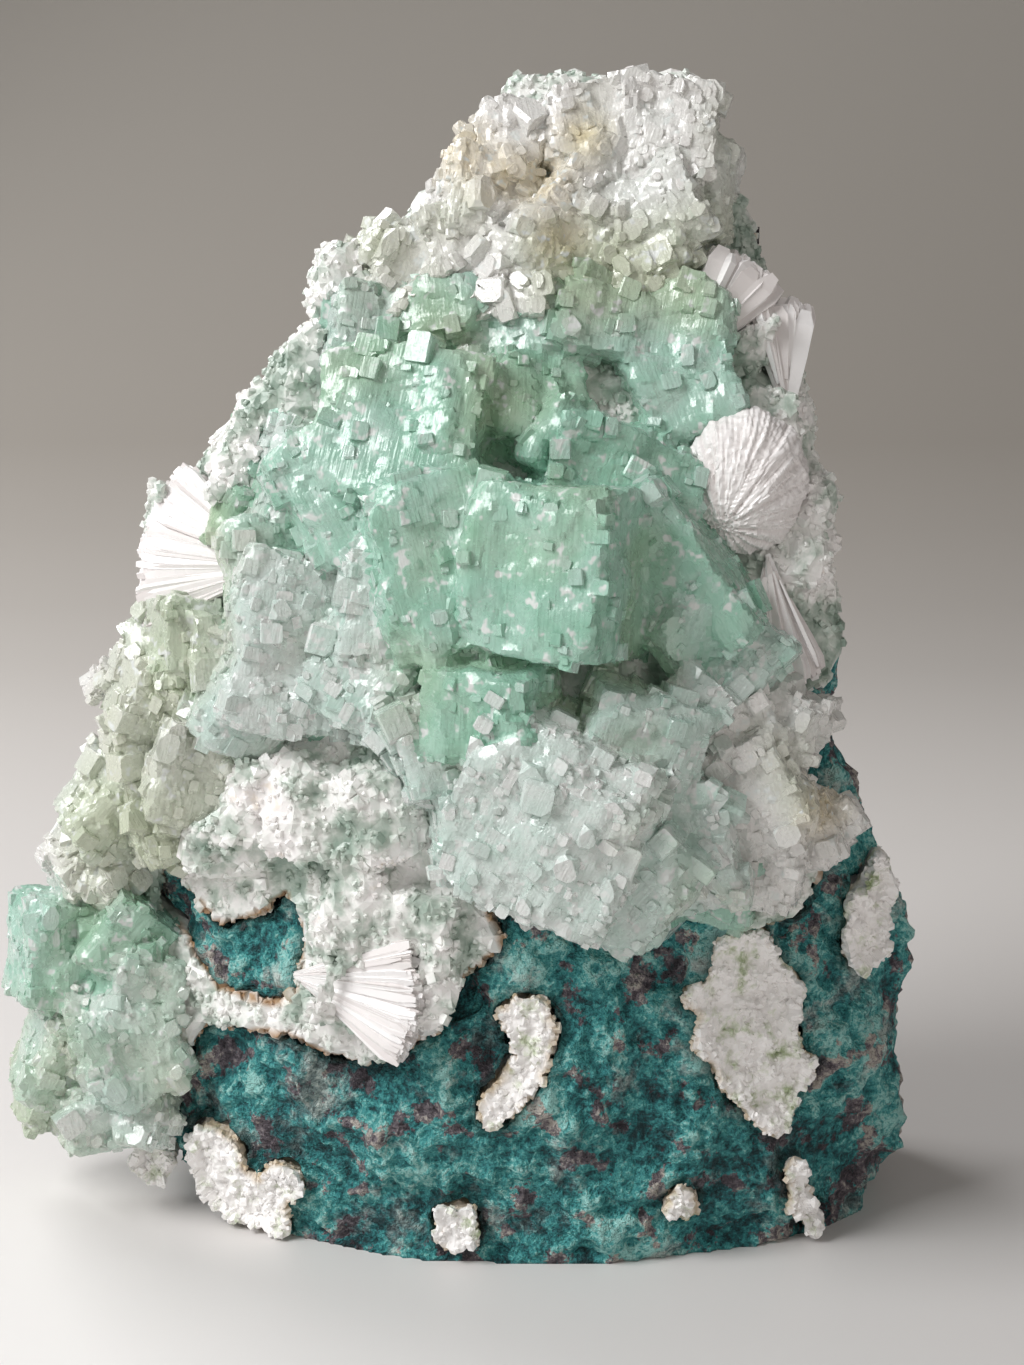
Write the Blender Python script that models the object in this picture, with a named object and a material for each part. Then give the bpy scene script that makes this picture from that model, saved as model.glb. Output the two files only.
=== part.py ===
"""Apophyllite specimen: green and white apophyllite with white stilbite sprays on a
crystal crust, which lines one face of a lump of dark, green-stained basalt.

The specimen stands on a flat broken base. +Z is up, the crystal face looks along -Y,
and the origin is at the middle of the base. Sizes in this file are in millimetres and
are turned to metres when a mesh is made.
"""

import math
from collections import namedtuple

import bmesh
import bpy
from mathutils import Matrix, Vector, noise

MM = 0.001

SEED = 3  # of the noise that roughens the rock and the crust

# Driving dimensions, in millimetres.
GAP = 0.3  # clearance between one solid and the next
SOLVER = "MANIFOLD"  # the exact solver leaves open edges in these crowded crystals
CRUST_THICK = 12.0  # the crystal crust, from its front to the basalt behind it
CRUST_PROUD = 1.0  # how far the crust stands out of the basalt's face
CRUST_OVERHANG = 0.5  # how far the crust reaches past the basalt's sides
ROCK_TOP = 143.0
CRUST_TOP = 146.0
FACE_MIDDLE = 12.0  # x of the line where the face comes forward most
FACE_ROUNDING = 0.0065  # how fast the face falls back on either side of that line
BACK_MIDDLE = 8.0
BACK_ROUNDING = 0.004

# Depth (y) of the front face and of the back at each height.
FACE_PROFILE = (
    (-20, -30),
    (0, -34),
    (20, -36),
    (45, -36),
    (70, -36),
    (90, -30),
    (110, -20),
    (130, -11),
    (150, -4),
    (170, 0),
)
BACK_PROFILE = ((0, 22), (35, 24), (80, 20), (120, 14), (150, 11))

# Sides of the basalt (x) at each height.
LEFT_SIDE = (
    (0, -33),
    (4, -41),
    (12, -46),
    (40, -47),
    (52, -45),
    (62, -41),
    (83, -39),
    (99, -32),
    (109, -23),
    (118, -17),
    (127, -7),
    (137, 0),
    (150, 12),
)
RIGHT_SIDE = (
    (0, 52.5),
    (5, 56),
    (12, 57.5),
    (26, 58),
    (38, 57.5),
    (45, 55.5),
    (54, 51.5),
    (70, 47.5),
    (82, 45.5),
    (98, 44.5),
    (112, 41.5),
    (124, 37),
    (135, 33),
    (150, 28),
)

# Rounded lumps (+) and hollows (-) on the basalt's front: x, z, radius, height.
ROCK_LUMPS = (
    (-27, 40, 9, 3.5),
    (9, 48, 5, 3.0),
    (-22, 22, 11, 2.6),
    (-4, 16, 9, 2.0),
    (14, 20, 8, 1.6),
    (36, 14, 10, 1.8),
    (52, 26, 8, 1.4),
    (52, 54, 6, 1.6),
    (-31, 29, 4, -2.6),
    (-12, 23, 5, -2.4),
    (6, 24, 4, -2.4),
    (18, 12, 5, -2.4),
    (20, 41, 6, -2.8),
    (46, 22, 4, -1.8),
    (48, 66, 5, -2.4),
    (44, 38, 4, -1.6),
)

# Edge of the crust on the basalt (x, z), from the lower left to the right side, then
# round past the sides and the top, where the crust's own outline ends it.
CRUST_EDGE = (
    (-52, 11),
    (-40, 15),
    (-36, 22),
    (-33.5, 28),
    (-27, 29.2),
    (-21, 29),
    (-15.5, 26.8),
    (-7.5, 27.8),
    (-3, 32.5),
    (0, 38),
    (5, 43),
    (1.5, 51),
    (7, 53.5),
    (12, 48.5),
    (17, 45),
    (22, 45),
    (28, 48.5),
    (33, 45.5),
    (42, 44.5),
    (44.5, 50),
    (46, 56),
    (41.5, 63),
    (44.5, 66.5),
    (41.5, 71.5),
    (47, 77),
    (70, 90),
    (70, 170),
    (-80, 170),
    (-80, 11),
)

# A tongue of basalt that shows through the crust at the lower left (x, z).
ISLAND_EDGE = (
    (-38.5, 49.5),
    (-36, 49.5),
    (-33, 45),
    (-30, 41.5),
    (-25, 44.5),
    (-20.5, 48),
    (-18.8, 43),
    (-19.6, 34.5),
    (-24, 32),
    (-31, 33),
    (-34.5, 37),
    (-39.5, 42),
)

# One crystal: centre on the face (x, z), size across, into and up the face, how far the
# centre stands out of the face, turns in degrees (tilt: top leans in below 0; yaw: front
# looks right above 0; roll: clockwise above 0) and the share of an edge that a corner
# face cuts off.
Block = namedtuple("Block", "x z wide deep tall proud tilt yaw roll chop")

GREEN_BLOCKS = (
    Block(-6, 102.5, 20, 18, 20, 3.0, -24, -14, 14, 0.24),  # large upper
    Block(-13.5, 96, 16, 17, 16, 2.0, -18, 16, -30, 0.30),
    Block(12, 89, 17.5, 19, 20, 7.5, -6, -24, 4, 0.22),  # large lower
    Block(-1, 89, 19, 17, 21, 3.5, -12, 12, -14, 0.26),
    Block(4, 73.5, 13, 12, 10.5, 6.5, 2, -22, 2, 0.10),  # small cube below
    Block(-3.5, 68.5, 8.5, 9, 10.5, 4.5, -4, 16, -20, 0.14),
    Block(-10.5, 84, 7, 8, 13, 6.0, -8, 10, 8, 0.18),
    Block(11, 61, 22, 16, 23, 6.0, 8, -8, 24, 0.34),  # pale, rounded
    Block(1.5, 58.5, 9, 10, 11, 4.0, 4, 14, -6, 0.30),
    Block(20, 55, 17, 14, 17, 4.5, 14, -14, 38, 0.34),
    Block(29, 55, 9.5, 7, 13.5, 6.0, 8, -18, -20, 0.08),
    Block(19, 98.5, 19, 14, 10, 1.5, -16, 10, 16, 0.14),
    Block(26, 88, 12, 13, 22, 2.0, -8, -12, -34, 0.12),
    Block(28.5, 82.5, 10, 9, 10, 4.0, -6, 20, 34, 0.14),
    Block(34.5, 78, 9, 8, 9, 2.5, -6, -16, 42, 0.06),
    Block(21.5, 69.5, 14, 11, 12, 4.5, 4, 10, 18, 0.24),
    Block(28.5, 73, 8, 8, 8, 3.5, 0, -14, 40, 0.12),
    Block(17, 116.5, 12, 10, 9, 2.2, -22, 10, 10, 0.24),
    Block(27.5, 115, 11, 10, 12, 2.2, -22, -14, 14, 0.22),
    Block(27.5, 107.5, 12, 11, 11, 1.0, -20, 8, -20, 0.18),
    Block(8.5, 107.5, 10, 10, 10, 1.0, -24, 18, 4, 0.08),
    Block(-3, 117.5, 12, 9, 7, 1.6, -24, -10, -6, 0.12),
    Block(-11, 115.5, 10, 9, 11, 2.2, -24, 12, 10, 0.16),
    Block(9.5, 116, 12, 9, 9, 1.0, -24, -8, -18, 0.26),
    Block(12.5, 102, 11, 10, 9, 0.6, -18, 24, 30, 0.14),
    Block(-20, 98, 10, 10, 13, 1.6, -18, 22, 14, 0.28),
    Block(-24.5, 88, 9, 10, 10, 3.0, -14, 18, -8, 0.28),
    Block(-20, 79, 16, 13, 20, 2.6, -8, 12, 10, 0.34),
    Block(-26.5, 71, 11, 11, 11, 2.2, -4, 20, 34, 0.28),
    Block(-11, 75.5, 12, 12, 12, 1.6, -4, -12, 26, 0.30),
)

LEFT_EDGE_BLOCKS = (
    Block(-34, 78.5, 8, 9, 9, 3.0, -10, 26, 2, 0.08),
    Block(-29.5, 77.5, 7, 8, 9, 2.4, -10, 14, -4, 0.10),
    Block(-39, 71, 9, 9, 9, 2.4, -6, 30, 18, 0.22),
    Block(-39.5, 63.5, 8, 8, 10, 1.8, -4, 26, -12, 0.18),
    Block(-33, 62, 10, 9, 12, 2.4, -6, 14, 14, 0.22),
    Block(-44, 55.5, 10, 9, 11, 2.6, -4, 30, 42, 0.14),
    Block(-46, 48.5, 8, 8, 9, 2.0, 0, 34, 16, 0.16),
    Block(-37, 55, 9, 8, 8, 2.0, 0, 20, -24, 0.20),
)

FOOT_BLOCKS = (
    Block(-51.5, 35.5, 13, 12.5, 14, 4.5, -4, 24, 8, 0.16),  # large cube on the left
    Block(-43, 38.5, 9, 9, 11, 2.2, -4, 16, 42, 0.08),
    Block(-48.5, 27, 7, 8, 7.5, 6.0, -6, 20, -14, 0.08),
    Block(-50.8, 20.5, 12.5, 12, 12.5, 3.4, 6, 24, 30, 0.22),
    Block(-42.5, 24, 12, 11, 13, 3.0, 2, 12, -28, 0.20),
    Block(-55, 14, 9, 9, 8, 1.6, 14, 26, 12, 0.24),
    Block(-46, 15, 14, 11, 8, 2.2, 12, 14, -6, 0.24),
    Block(-41, 32, 9, 9, 10, 2.2, 0, 14, 12, 0.22),
)

PEAK_BLOCKS = (
    Block(25, 139, 13, 11, 13, 1.4, -14, -10, 14, 0.30),
    Block(15.5, 140, 11, 10, 10, 1.2, -14, 12, -10, 0.26),
    Block(5.5, 137.5, 10, 9, 8.5, 1.2, -18, 16, -30, 0.28),
    Block(24, 129, 14, 11, 11, 2.2, -18, -10, -26, 0.12),
    Block(12.5, 126, 12, 10, 12, 1.6, -20, 8, 30, 0.12),
    Block(3, 131, 11, 10, 11, 1.4, -20, 16, 10, 0.26),
    Block(0, 125, 10, 9, 9, 1.2, -22, 12, -18, 0.24),
    Block(30, 132.5, 8, 9, 12, 0.6, -14, -20, 8, 0.24),
    Block(17, 133.5, 10, 9, 9, 1.0, -18, 12, 34, 0.24),
    Block(22.5, 122.5, 14, 7, 5.5, 2.4, -18, -6, -30, 0.20),
    Block(-7, 122.5, 9, 8, 8, 1.0, -22, 14, 20, 0.22),
)

RIGHT_EDGE_BLOCKS = (
    Block(35.5, 62, 12, 10, 14, 3.0, 0, -10, -26, 0.24),
    Block(40.5, 70, 8, 8, 8, 1.4, 0, -20, 20, 0.26),
    Block(36.5, 53.5, 11, 9, 11, 1.6, 6, -12, 12, 0.20),
    Block(42, 56, 9, 8, 8, 1.0, 2, -20, -20, 0.22),
    Block(34, 70.5, 7, 7, 8, 2.2, 0, 8, -18, 0.28),
)

# Small crystals of the crust itself, which are one solid with it.
CRUST_BLOCKS = (
    Block(-30, 53.5, 9, 8, 8, 1.6, 0, 14, 18, 0.26),
    Block(-23.5, 62, 7, 7, 6.5, 3.0, -4, 12, -6, 0.08),
    Block(-16, 58.5, 13, 9, 11, 1.6, 0, -8, 12, 0.30),
    Block(-7.5, 60, 12, 8, 11, 1.4, 0, 12, -18, 0.30),
    Block(-27, 56.5, 8, 8, 9, 2.0, -6, 10, 40, 0.20),
    Block(-12, 46, 9, 7, 10, 1.2, 0, 10, 24, 0.24),
    Block(-4, 44, 8, 7, 10, 1.0, 0, -16, 10, 0.20),
    Block(-12, 35, 12, 6, 8, 1.0, 4, 8, 24, 0.20),
    Block(-4, 36.5, 9, 6, 8, 0.8, 0, -8, -20, 0.24),
    Block(-24, 103, 8, 7, 9, 1.6, -20, 16, 24, 0.24),
    Block(-18.5, 110, 8, 7, 9, 1.6, -22, 12, 34, 0.22),
    Block(-13.5, 121, 8, 7, 8, 1.4, -22, 12, 20, 0.22),
    Block(-28, 96.5, 7, 7, 8, 1.4, -18, 18, 30, 0.24),
    Block(38, 103, 7, 7, 12, 0.8, -16, -18, 8, 0.24),
    Block(42, 92, 6, 7, 12, 0.6, -12, -22, 4, 0.26),
    Block(36, 49, 8, 6, 7, 1.2, 4, -10, -14, 0.24),
    Block(8, 51.5, 8, 6, 6, 1.2, 6, 6, 20, 0.24),
    Block(23, 48, 8, 6, 6, 1.4, 8, 6, -16, 0.26),
    Block(-36, 92, 6, 6, 8, 1.2, -14, 20, 10, 0.24),
    Block(36, 115, 7, 7, 9, 0.8, -18, -14, -12, 0.24),
)

# A spray of stilbite blades: foot on the face (x, z) and how far it stands out there,
# the first and last direction in degrees (0 right, 90 up), blades, blade length, width
# at the outer end and thickness, and how much the tips rise out of the face.
Spray = namedtuple("Spray", "x z proud first last blades long wide thick rise")

STILBITE_SPRAYS = {
    "stilbite_fan_left": Spray(-22.5, 87.5, 1.5, 140, 204, 9, 19.0, 4.6, 6.0, 1.2),
    "stilbite_sheaf_upper": Spray(27.5, 112.5, 3.0, 40, 68, 3, 15.0, 4.6, 3.8, 1.8),
    "stilbite_sheaf_right": Spray(40.5, 105.0, 1.8, 82, 104, 3, 15.5, 3.6, 4.6, 0.6),
    "stilbite_bow_right": Spray(37.5, 89.5, 1.2, 262, 292, 5, 16.5, 4.2, 5.0, 0.0),
    "stilbite_spray_lower": Spray(-19.0, 37.5, 2.2, 330, 372, 5, 15.0, 4.2, 4.2, 0.4),
}

# The stilbite rosette: a flattened ball of blades seen edge on.
ROSETTE_CENTRE = (34.6, 98.2)
ROSETTE_SIZE = (16.0, 12.0, 18.5)
ROSETTE_PROUD = 3.8
ROSETTE_LEAN = math.radians(10)
ROSETTE_BLADES = 13
ROSETTE_GROOVE = 0.035  # share of the radius

# White fillings of old gas bubbles in the basalt: outline on the face (x, z).
FILLINGS = {
    "filling_right": (
        (31.5, 43),
        (37.5, 43),
        (39.5, 39),
        (42.5, 35.5),
        (41.5, 30.5),
        (42.5, 26.5),
        (44.5, 25),
        (42.5, 21),
        (40, 16.5),
        (36, 20),
        (34, 22),
        (31.5, 26.5),
        (29.5, 29),
        (30, 33),
        (27.5, 35),
        (30.5, 37.5),
    ),
    "filling_middle": (
        (7, 35.5),
        (10.5, 35),
        (11.5, 31.5),
        (10.5, 26.5),
        (8.5, 23),
        (5, 19),
        (3, 19),
        (3, 22),
        (5, 24.5),
        (7.5, 28),
        (6.5, 31.5),
        (5, 33.5),
    ),
    "filling_right_edge": (
        (52.6, 50.5),
        (54.4, 48.5),
        (54, 44.5),
        (53, 41),
        (54, 38.5),
        (51, 36.4),
        (49, 37.6),
        (48.5, 42),
        (49, 45.6),
        (51, 47),
    ),
    "filling_lower_left": (
        (-34.5, 12.5),
        (-32, 13.5),
        (-29.5, 13),
        (-28, 11),
        (-28.5, 9),
        (-26, 8),
        (-24, 9.8),
        (-21, 9.6),
        (-20.6, 7),
        (-23, 5.2),
        (-22.4, 1.2),
        (-28.5, 1.4),
        (-32.5, 2.4),
        (-34.5, 5.6),
        (-35.5, 9.6),
    ),
    "filling_foot": ((-2.5, 7.2), (1.5, 7.2), (1.4, 5), (2, 3.6), (0, 2.2), (-2.6, 3)),
    "filling_streak": (
        (41.4, 11.4),
        (43, 11.4),
        (43.6, 8),
        (44.6, 5.5),
        (46.2, 2.2),
        (44.8, 1.4),
        (43.2, 4.2),
        (42, 7.5),
    ),
    "filling_left_edge": (
        (-43.5, 9.4),
        (-40, 9.8),
        (-38.6, 6.6),
        (-39.6, 4),
        (-41.6, 3.6),
        (-43, 5.4),
    ),
    "filling_speck": ((26.2, 9), (28.3, 9.7), (29.4, 8.1), (29, 6.4), (26.2, 6.8)),
}
THROUGH = (-80.0, 60.0)  # from in front of the specimen to behind it (y)
FILLING_DEPTH = 5.0
FILLING_PROUD = 0.5
FILLING_EDGE = 0.45  # width and height of the chamfer round its front

# Colours, as red, green, blue from 0 to 1 on a linear scale, and roughness.
MATERIALS = {
    "basalt": ((0.035, 0.115, 0.115), 0.85),
    "green_apophyllite": ((0.40, 0.66, 0.53), 0.20),
    "pale_apophyllite": ((0.68, 0.78, 0.70), 0.25),
    "white_crust": ((0.76, 0.76, 0.70), 0.45),
    "stilbite": ((0.84, 0.82, 0.81), 0.35),
    "filling": ((0.66, 0.62, 0.55), 0.50),
}


def between(points, at):
    """The value at one height of a profile given as (height, value) points."""
    if at <= points[0][0]:
        return points[0][1]
    for (low, first), (high, second) in zip(points, points[1:]):
        if at <= high:
            return first + (second - first) * (at - low) / (high - low)
    return points[-1][1]


def face_y(x, z):
    """Depth of the specimen's front face."""
    return between(FACE_PROFILE, z) + FACE_ROUNDING * (x - FACE_MIDDLE) ** 2


def back_y(x, z):
    """Depth of the specimen's back."""
    return between(BACK_PROFILE, z) - BACK_ROUNDING * (x - BACK_MIDDLE) ** 2


def lumps_at(x, z):
    """How far the basalt's named lumps and hollows raise its front here."""
    total = 0.0
    for lump_x, lump_z, radius, height in ROCK_LUMPS:
        near = ((x - lump_x) ** 2 + (z - lump_z) ** 2) / radius**2
        total += height * math.exp(-2 * near)
    return total


def sliced_cube(across, deep, up):
    """A cube from -1 to 1 that is cut into that many slices along each axis."""
    bm = bmesh.new()
    bmesh.ops.create_cube(bm, size=2)
    for axis, count in enumerate((across, deep, up)):
        normal = Vector((axis == 0, axis == 1, axis == 2))
        for i in range(1, count):
            geometry = bm.verts[:] + bm.edges[:] + bm.faces[:]
            place = normal * (2 * i / count - 1)
            bmesh.ops.bisect_plane(bm, geom=geometry, plane_co=place, plane_no=normal)
    return bm


def basalt_body():
    """The basalt lump: slices of a cube drawn out to its outlines, then roughened."""
    bm = sliced_cube(12, 5, 17)
    corner, sharpness = 5.0, 5  # how far the corners fall back, and how near the edge
    roughness, rough_scale = 2.2, 0.075
    fine_roughness, fine_scale = 0.99, 0.1725
    foot_height, foot_share = 12.0, 0.5  # the foot is calmer, so that it stays flat
    back_share = 1.8  # the back is rougher than the front
    for vertex in bm.verts:
        u, v, w = vertex.co
        z = ROCK_TOP * (w + 1) / 2
        left, right = between(LEFT_SIDE, z), between(RIGHT_SIDE, z)
        x = left + (right - left) * (u + 1) / 2
        edge = abs(u) ** sharpness
        front = face_y(x, z) + corner * edge - lumps_at(x, z)
        back = back_y(x, z) - corner * edge
        y = front + (back - front) * (v + 1) / 2
        place = Vector((x, y, z))
        push = noise.noise_vector(place * rough_scale) * roughness
        push += noise.noise_vector(place * fine_scale) * fine_roughness
        if w <= -1:
            push.z = 0
        elif z < foot_height:
            push.z = abs(push.z) * foot_share
        if v > 0:
            push.y *= back_share
        vertex.co = Vector((x, y, max(z + push.z, 0))) + Vector((push.x, push.y, 0))
    return bm


def crust_front(x, z, side):
    """Depth of the crust's front; side is 0 at its middle and 1 at its edges."""
    bumps, bump_scale, rounding = 0.9, 0.16, 1.6
    bump = noise.noise(Vector((x, 0, z)) * bump_scale) * bumps
    return face_y(x, z) - CRUST_PROUD + rounding * side**6 - bump


def crust_back(x, z, side):
    """Depth of the crust's back, which comes forward at its edges."""
    thinning = 5.0
    return face_y(x, z) + CRUST_THICK - thinning * side**4


def crust_sheet(front, back, grow=0.0):
    """A bent sheet as wide as the crust, from one depth to another."""
    bm = sliced_cube(10, 1, 13)
    low = 4.0
    wide = CRUST_OVERHANG + grow
    for vertex in bm.verts:
        u, v, w = vertex.co
        z = low + (CRUST_TOP - low) * (w + 1) / 2
        left, right = between(LEFT_SIDE, z) - wide, between(RIGHT_SIDE, z) + wide
        x = left + (right - left) * (u + 1) / 2
        y = back(x, z, abs(u)) if v > 0 else front(x, z, abs(u))
        if w >= 1:
            z += grow
        vertex.co = Vector((x, y, z))
    return bm


def bed():
    """The crust and all behind it, grown, off which the crystals are cut."""
    behind = 60.0
    return crust_sheet(
        lambda x, z, side: crust_front(x, z, side) - GAP,
        lambda x, z, side: behind,
        GAP,
    )


def crust_room():
    """The room for the crust in the basalt, open to the front."""
    ahead = 15.0
    return crust_sheet(
        lambda x, z, side: face_y(x, z) - ahead,
        lambda x, z, side: crust_back(x, z, side) + GAP,
        GAP,
    )


def widened(outline, grow):
    """The outline (x, z) with each side moved out by that much."""
    corners = [Vector(p) for p in outline]
    area = sum(a.cross(b) for a, b in zip(corners, corners[1:] + corners[:1]))
    outward = grow if area > 0 else -grow
    moved = []
    for i, corner in enumerate(corners):
        before = (corner - corners[i - 1]).normalized()
        after = (corners[(i + 1) % len(corners)] - corner).normalized()
        middle = (before + after).normalized()
        reach = outward / max(middle.dot(before), 0.5)
        moved.append((corner.x + middle.y * reach, corner.y - middle.x * reach))
    return moved


def prism(outline, depth_range):
    """A flat outline (x, z) drawn out along y, as a curve object made a mesh."""
    near, far = depth_range
    curve = bpy.data.curves.new("outline", "CURVE")
    curve.dimensions = "2D"
    curve.fill_mode = "BOTH"
    curve.extrude = (far - near) / 2
    spline = curve.splines.new("POLY")
    spline.points.add(len(outline) - 1)
    for point, (x, z) in zip(spline.points, outline):
        point.co = (x, z, 0, 1)
    spline.use_cyclic_u = True
    helper = bpy.data.objects.new("outline", curve)
    bpy.context.scene.collection.objects.link(helper)
    graph = bpy.context.evaluated_depsgraph_get()
    mesh = bpy.data.meshes.new_from_object(helper.evaluated_get(graph))
    bpy.data.objects.remove(helper)
    bm = bmesh.new()
    bm.from_mesh(mesh)
    bpy.data.meshes.remove(mesh)
    bmesh.ops.remove_doubles(bm, verts=bm.verts, dist=0.001)
    upright = Matrix.Translation((0, (near + far) / 2, 0)) @ Matrix.Rotation(
        math.radians(90), 4, "X"
    )
    bmesh.ops.transform(bm, matrix=upright, verts=bm.verts)
    bmesh.ops.recalc_face_normals(bm, faces=bm.faces)
    return bm


def crystal(block, grow=0.0):
    """One apophyllite crystal: a block whose corners are cut off by pyramid faces.
    Grown, it is the plain block of room around it."""
    bm = bmesh.new()
    bmesh.ops.create_cube(bm, size=1)
    if not grow:
        front = [v for v in bm.verts if v.co.y < 0]
        bmesh.ops.bevel(
            bm,
            geom=front,
            offset=block.chop,
            affect="VERTICES",
            segments=1,
            profile=0.5,
            material=-1,
        )
    size = Vector((block.wide, block.deep, block.tall)) + Vector((2, 2, 2)) * grow
    tilt, roll, yaw = (math.radians(a) for a in (block.tilt, block.roll, block.yaw))
    turn = (
        Matrix.Rotation(roll, 4, "Y")
        @ Matrix.Rotation(tilt, 4, "X")
        @ Matrix.Rotation(yaw, 4, "Z")
    )
    place = Vector((block.x, face_y(block.x, block.z) - block.proud, block.z))
    matrix = Matrix.Translation(place) @ turn @ Matrix.Diagonal((*size, 1))
    bmesh.ops.transform(bm, matrix=matrix, verts=bm.verts)
    return bm


def blade(spray, number, grow=0.0):
    """One blade of a spray: a bar that widens from the foot to a slanted tip."""
    share = number / max(spray.blades - 1, 1)
    angle = math.radians(spray.first + (spray.last - spray.first) * share)
    shortening = (0.0, 0.10, 0.03, 0.14)[number % 4]
    long = spray.long * (1 - shortening)
    lift = (0.0, 0.7, 0.3)[number % 3]
    foot_share, tip_slant = 0.45, 1.2
    bm = bmesh.new()
    bmesh.ops.create_cube(bm, size=1)
    for vertex in bm.verts:
        outer = vertex.co.x > 0
        width = (spray.wide if outer else spray.wide * foot_share) + 2 * grow
        slant = tip_slant * (1 if vertex.co.z > 0 else -1) if outer else 0
        vertex.co.x = (long + grow + slant) if outer else -grow
        vertex.co.y *= spray.thick + 2 * grow
        vertex.co.z *= width
    foot = Vector((spray.x, face_y(spray.x, spray.z) - spray.proud - lift, spray.z))
    tip = foot + Vector((math.cos(angle), 0, math.sin(angle))) * long
    rise = math.atan2(face_y(tip.x, tip.z) - face_y(foot.x, foot.z) - spray.rise, long)
    turn = Matrix.Rotation(-angle, 4, "Y") @ Matrix.Rotation(rise, 4, "Z")
    matrix = Matrix.Translation(foot) @ turn
    bmesh.ops.transform(bm, matrix=matrix, verts=bm.verts)
    return bm


def rosette(grow=0.0):
    """The rosette: a flattened ball with a shallow groove between its blades."""
    bm = bmesh.new()
    bmesh.ops.create_icosphere(bm, subdivisions=3, radius=1)
    x, z = ROSETTE_CENTRE
    hub_x, hub_z = 0.45, -0.35  # where the blades meet, as shares of the radius
    for vertex in bm.verts:
        round_it = math.atan2(vertex.co.z - hub_z, vertex.co.x - hub_x)
        groove = 1 + ROSETTE_GROOVE * math.cos(ROSETTE_BLADES * round_it)
        for axis in range(3):
            radius = ROSETTE_SIZE[axis] / 2 * groove + grow
            vertex.co[axis] *= radius
    turn = Matrix.Rotation(ROSETTE_LEAN, 4, "Y")
    place = Vector((x, face_y(x, z) - ROSETTE_PROUD, z))
    bmesh.ops.transform(bm, matrix=Matrix.Translation(place) @ turn, verts=bm.verts)
    return bm


def filling(outline, grow=0.0):
    """A bubble's filling: its outline drawn into the basalt, with a chamfered edge."""
    bm = prism(widened(outline, grow), (0.0, 1.0))
    deepest = max(face_y(x, z) - lumps_at(x, z) for x, z in outline) + FILLING_DEPTH
    proud = FILLING_PROUD + (grow + FILLING_EDGE if grow else 0)
    for vertex in bm.verts:
        x, y, z = vertex.co
        on_front = y < 0.5
        face = face_y(x, z) - lumps_at(x, z) - proud
        vertex.co.y = face if on_front else deepest + grow
    bm.normal_update()
    if not grow:
        front = [f for f in bm.faces if f.normal.y < -0.5]
        bmesh.ops.inset_region(
            bm, faces=front, thickness=FILLING_EDGE, use_even_offset=False
        )
        for vertex in {v for f in front for v in f.verts}:
            vertex.co.y -= FILLING_EDGE
    return bm


def finished(solid, kind):
    """The solid as one clean body, with its material."""
    keep_largest_body(solid)
    give_material(solid, kind)
    return solid


def object_from(bm, name, collection):
    """An object in metres, with its origin at the middle of its own box."""
    bmesh.ops.scale(bm, vec=(MM, MM, MM), verts=bm.verts)
    places = [v.co for v in bm.verts]
    low = Vector(min(p[i] for p in places) for i in range(3))
    high = Vector(max(p[i] for p in places) for i in range(3))
    middle = (low + high) / 2
    bmesh.ops.translate(bm, vec=-middle, verts=bm.verts)
    mesh = bpy.data.meshes.new(name)
    bm.to_mesh(mesh)
    bm.free()
    made = bpy.data.objects.new(name, mesh)
    made.location = middle
    collection.objects.link(made)
    return made


def apply_booleans(made):
    """Makes the object's modifiers part of its mesh."""
    graph = bpy.context.evaluated_depsgraph_get()
    mesh = bpy.data.meshes.new_from_object(made.evaluated_get(graph))
    made.modifiers.clear()
    made.data = mesh


def combine(made, others, operation):
    """Joins the other objects to this one, or cuts them from it, and removes them."""
    if not others:
        return made
    helpers = bpy.data.collections.new("cutters")
    bpy.context.scene.collection.children.link(helpers)
    for other in others:
        other.hide_render = True
        other.display_type = "WIRE"
        helpers.objects.link(other)
    modifier = made.modifiers.new(operation.lower(), "BOOLEAN")
    modifier.operation = operation
    modifier.solver = SOLVER
    modifier.operand_type = "COLLECTION"
    modifier.collection = helpers
    apply_booleans(made)
    for other in others:
        bpy.data.objects.remove(other)
    bpy.data.collections.remove(helpers)
    return made


def keep_largest_body(made):
    """Drops the chips that a cut has left loose."""
    bm = bmesh.new()
    bm.from_mesh(made.data)
    seen, bodies = set(), []
    for start in bm.faces:
        if start in seen:
            continue
        seen.add(start)
        body, queue = [], [start]
        while queue:
            face = queue.pop()
            body.append(face)
            for other in {f for edge in face.edges for f in edge.link_faces}:
                if other not in seen:
                    seen.add(other)
                    queue.append(other)
        bodies.append(body)
    bodies.sort(key=len)
    for body in bodies[:-1]:
        bmesh.ops.delete(bm, geom=body, context="FACES")
    bmesh.ops.triangulate(bm, faces=bm.faces)
    bm.to_mesh(made.data)
    bm.free()


def joined(name, pieces, collection):
    """Several closed shapes that overlap, as one solid."""
    first, *rest = (object_from(bm, name, collection) for bm in pieces)
    made = combine(first, rest, "UNION")
    made.name = name
    return made


def box_of(made):
    """The lowest and highest corner of an object."""
    places = [made.location + v.co for v in made.data.vertices]
    low = Vector(min(p[i] for p in places) for i in range(3))
    high = Vector(max(p[i] for p in places) for i in range(3))
    return low, high


def cut_by(made, shapes, collection, objects=()):
    """Cuts these closed shapes and objects from the object, leaving out shapes that
    are clear of it."""
    low, high = box_of(made)
    near = list(objects)
    for bm in shapes:
        cutter = object_from(bm, "cutter", collection)
        cutter_low, cutter_high = box_of(cutter)
        if all(
            cutter_low[i] < high[i] and cutter_high[i] > low[i] for i in range(3)
        ):
            near.append(cutter)
        else:
            bpy.data.objects.remove(cutter)
    combine(made, near, "DIFFERENCE")


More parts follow.
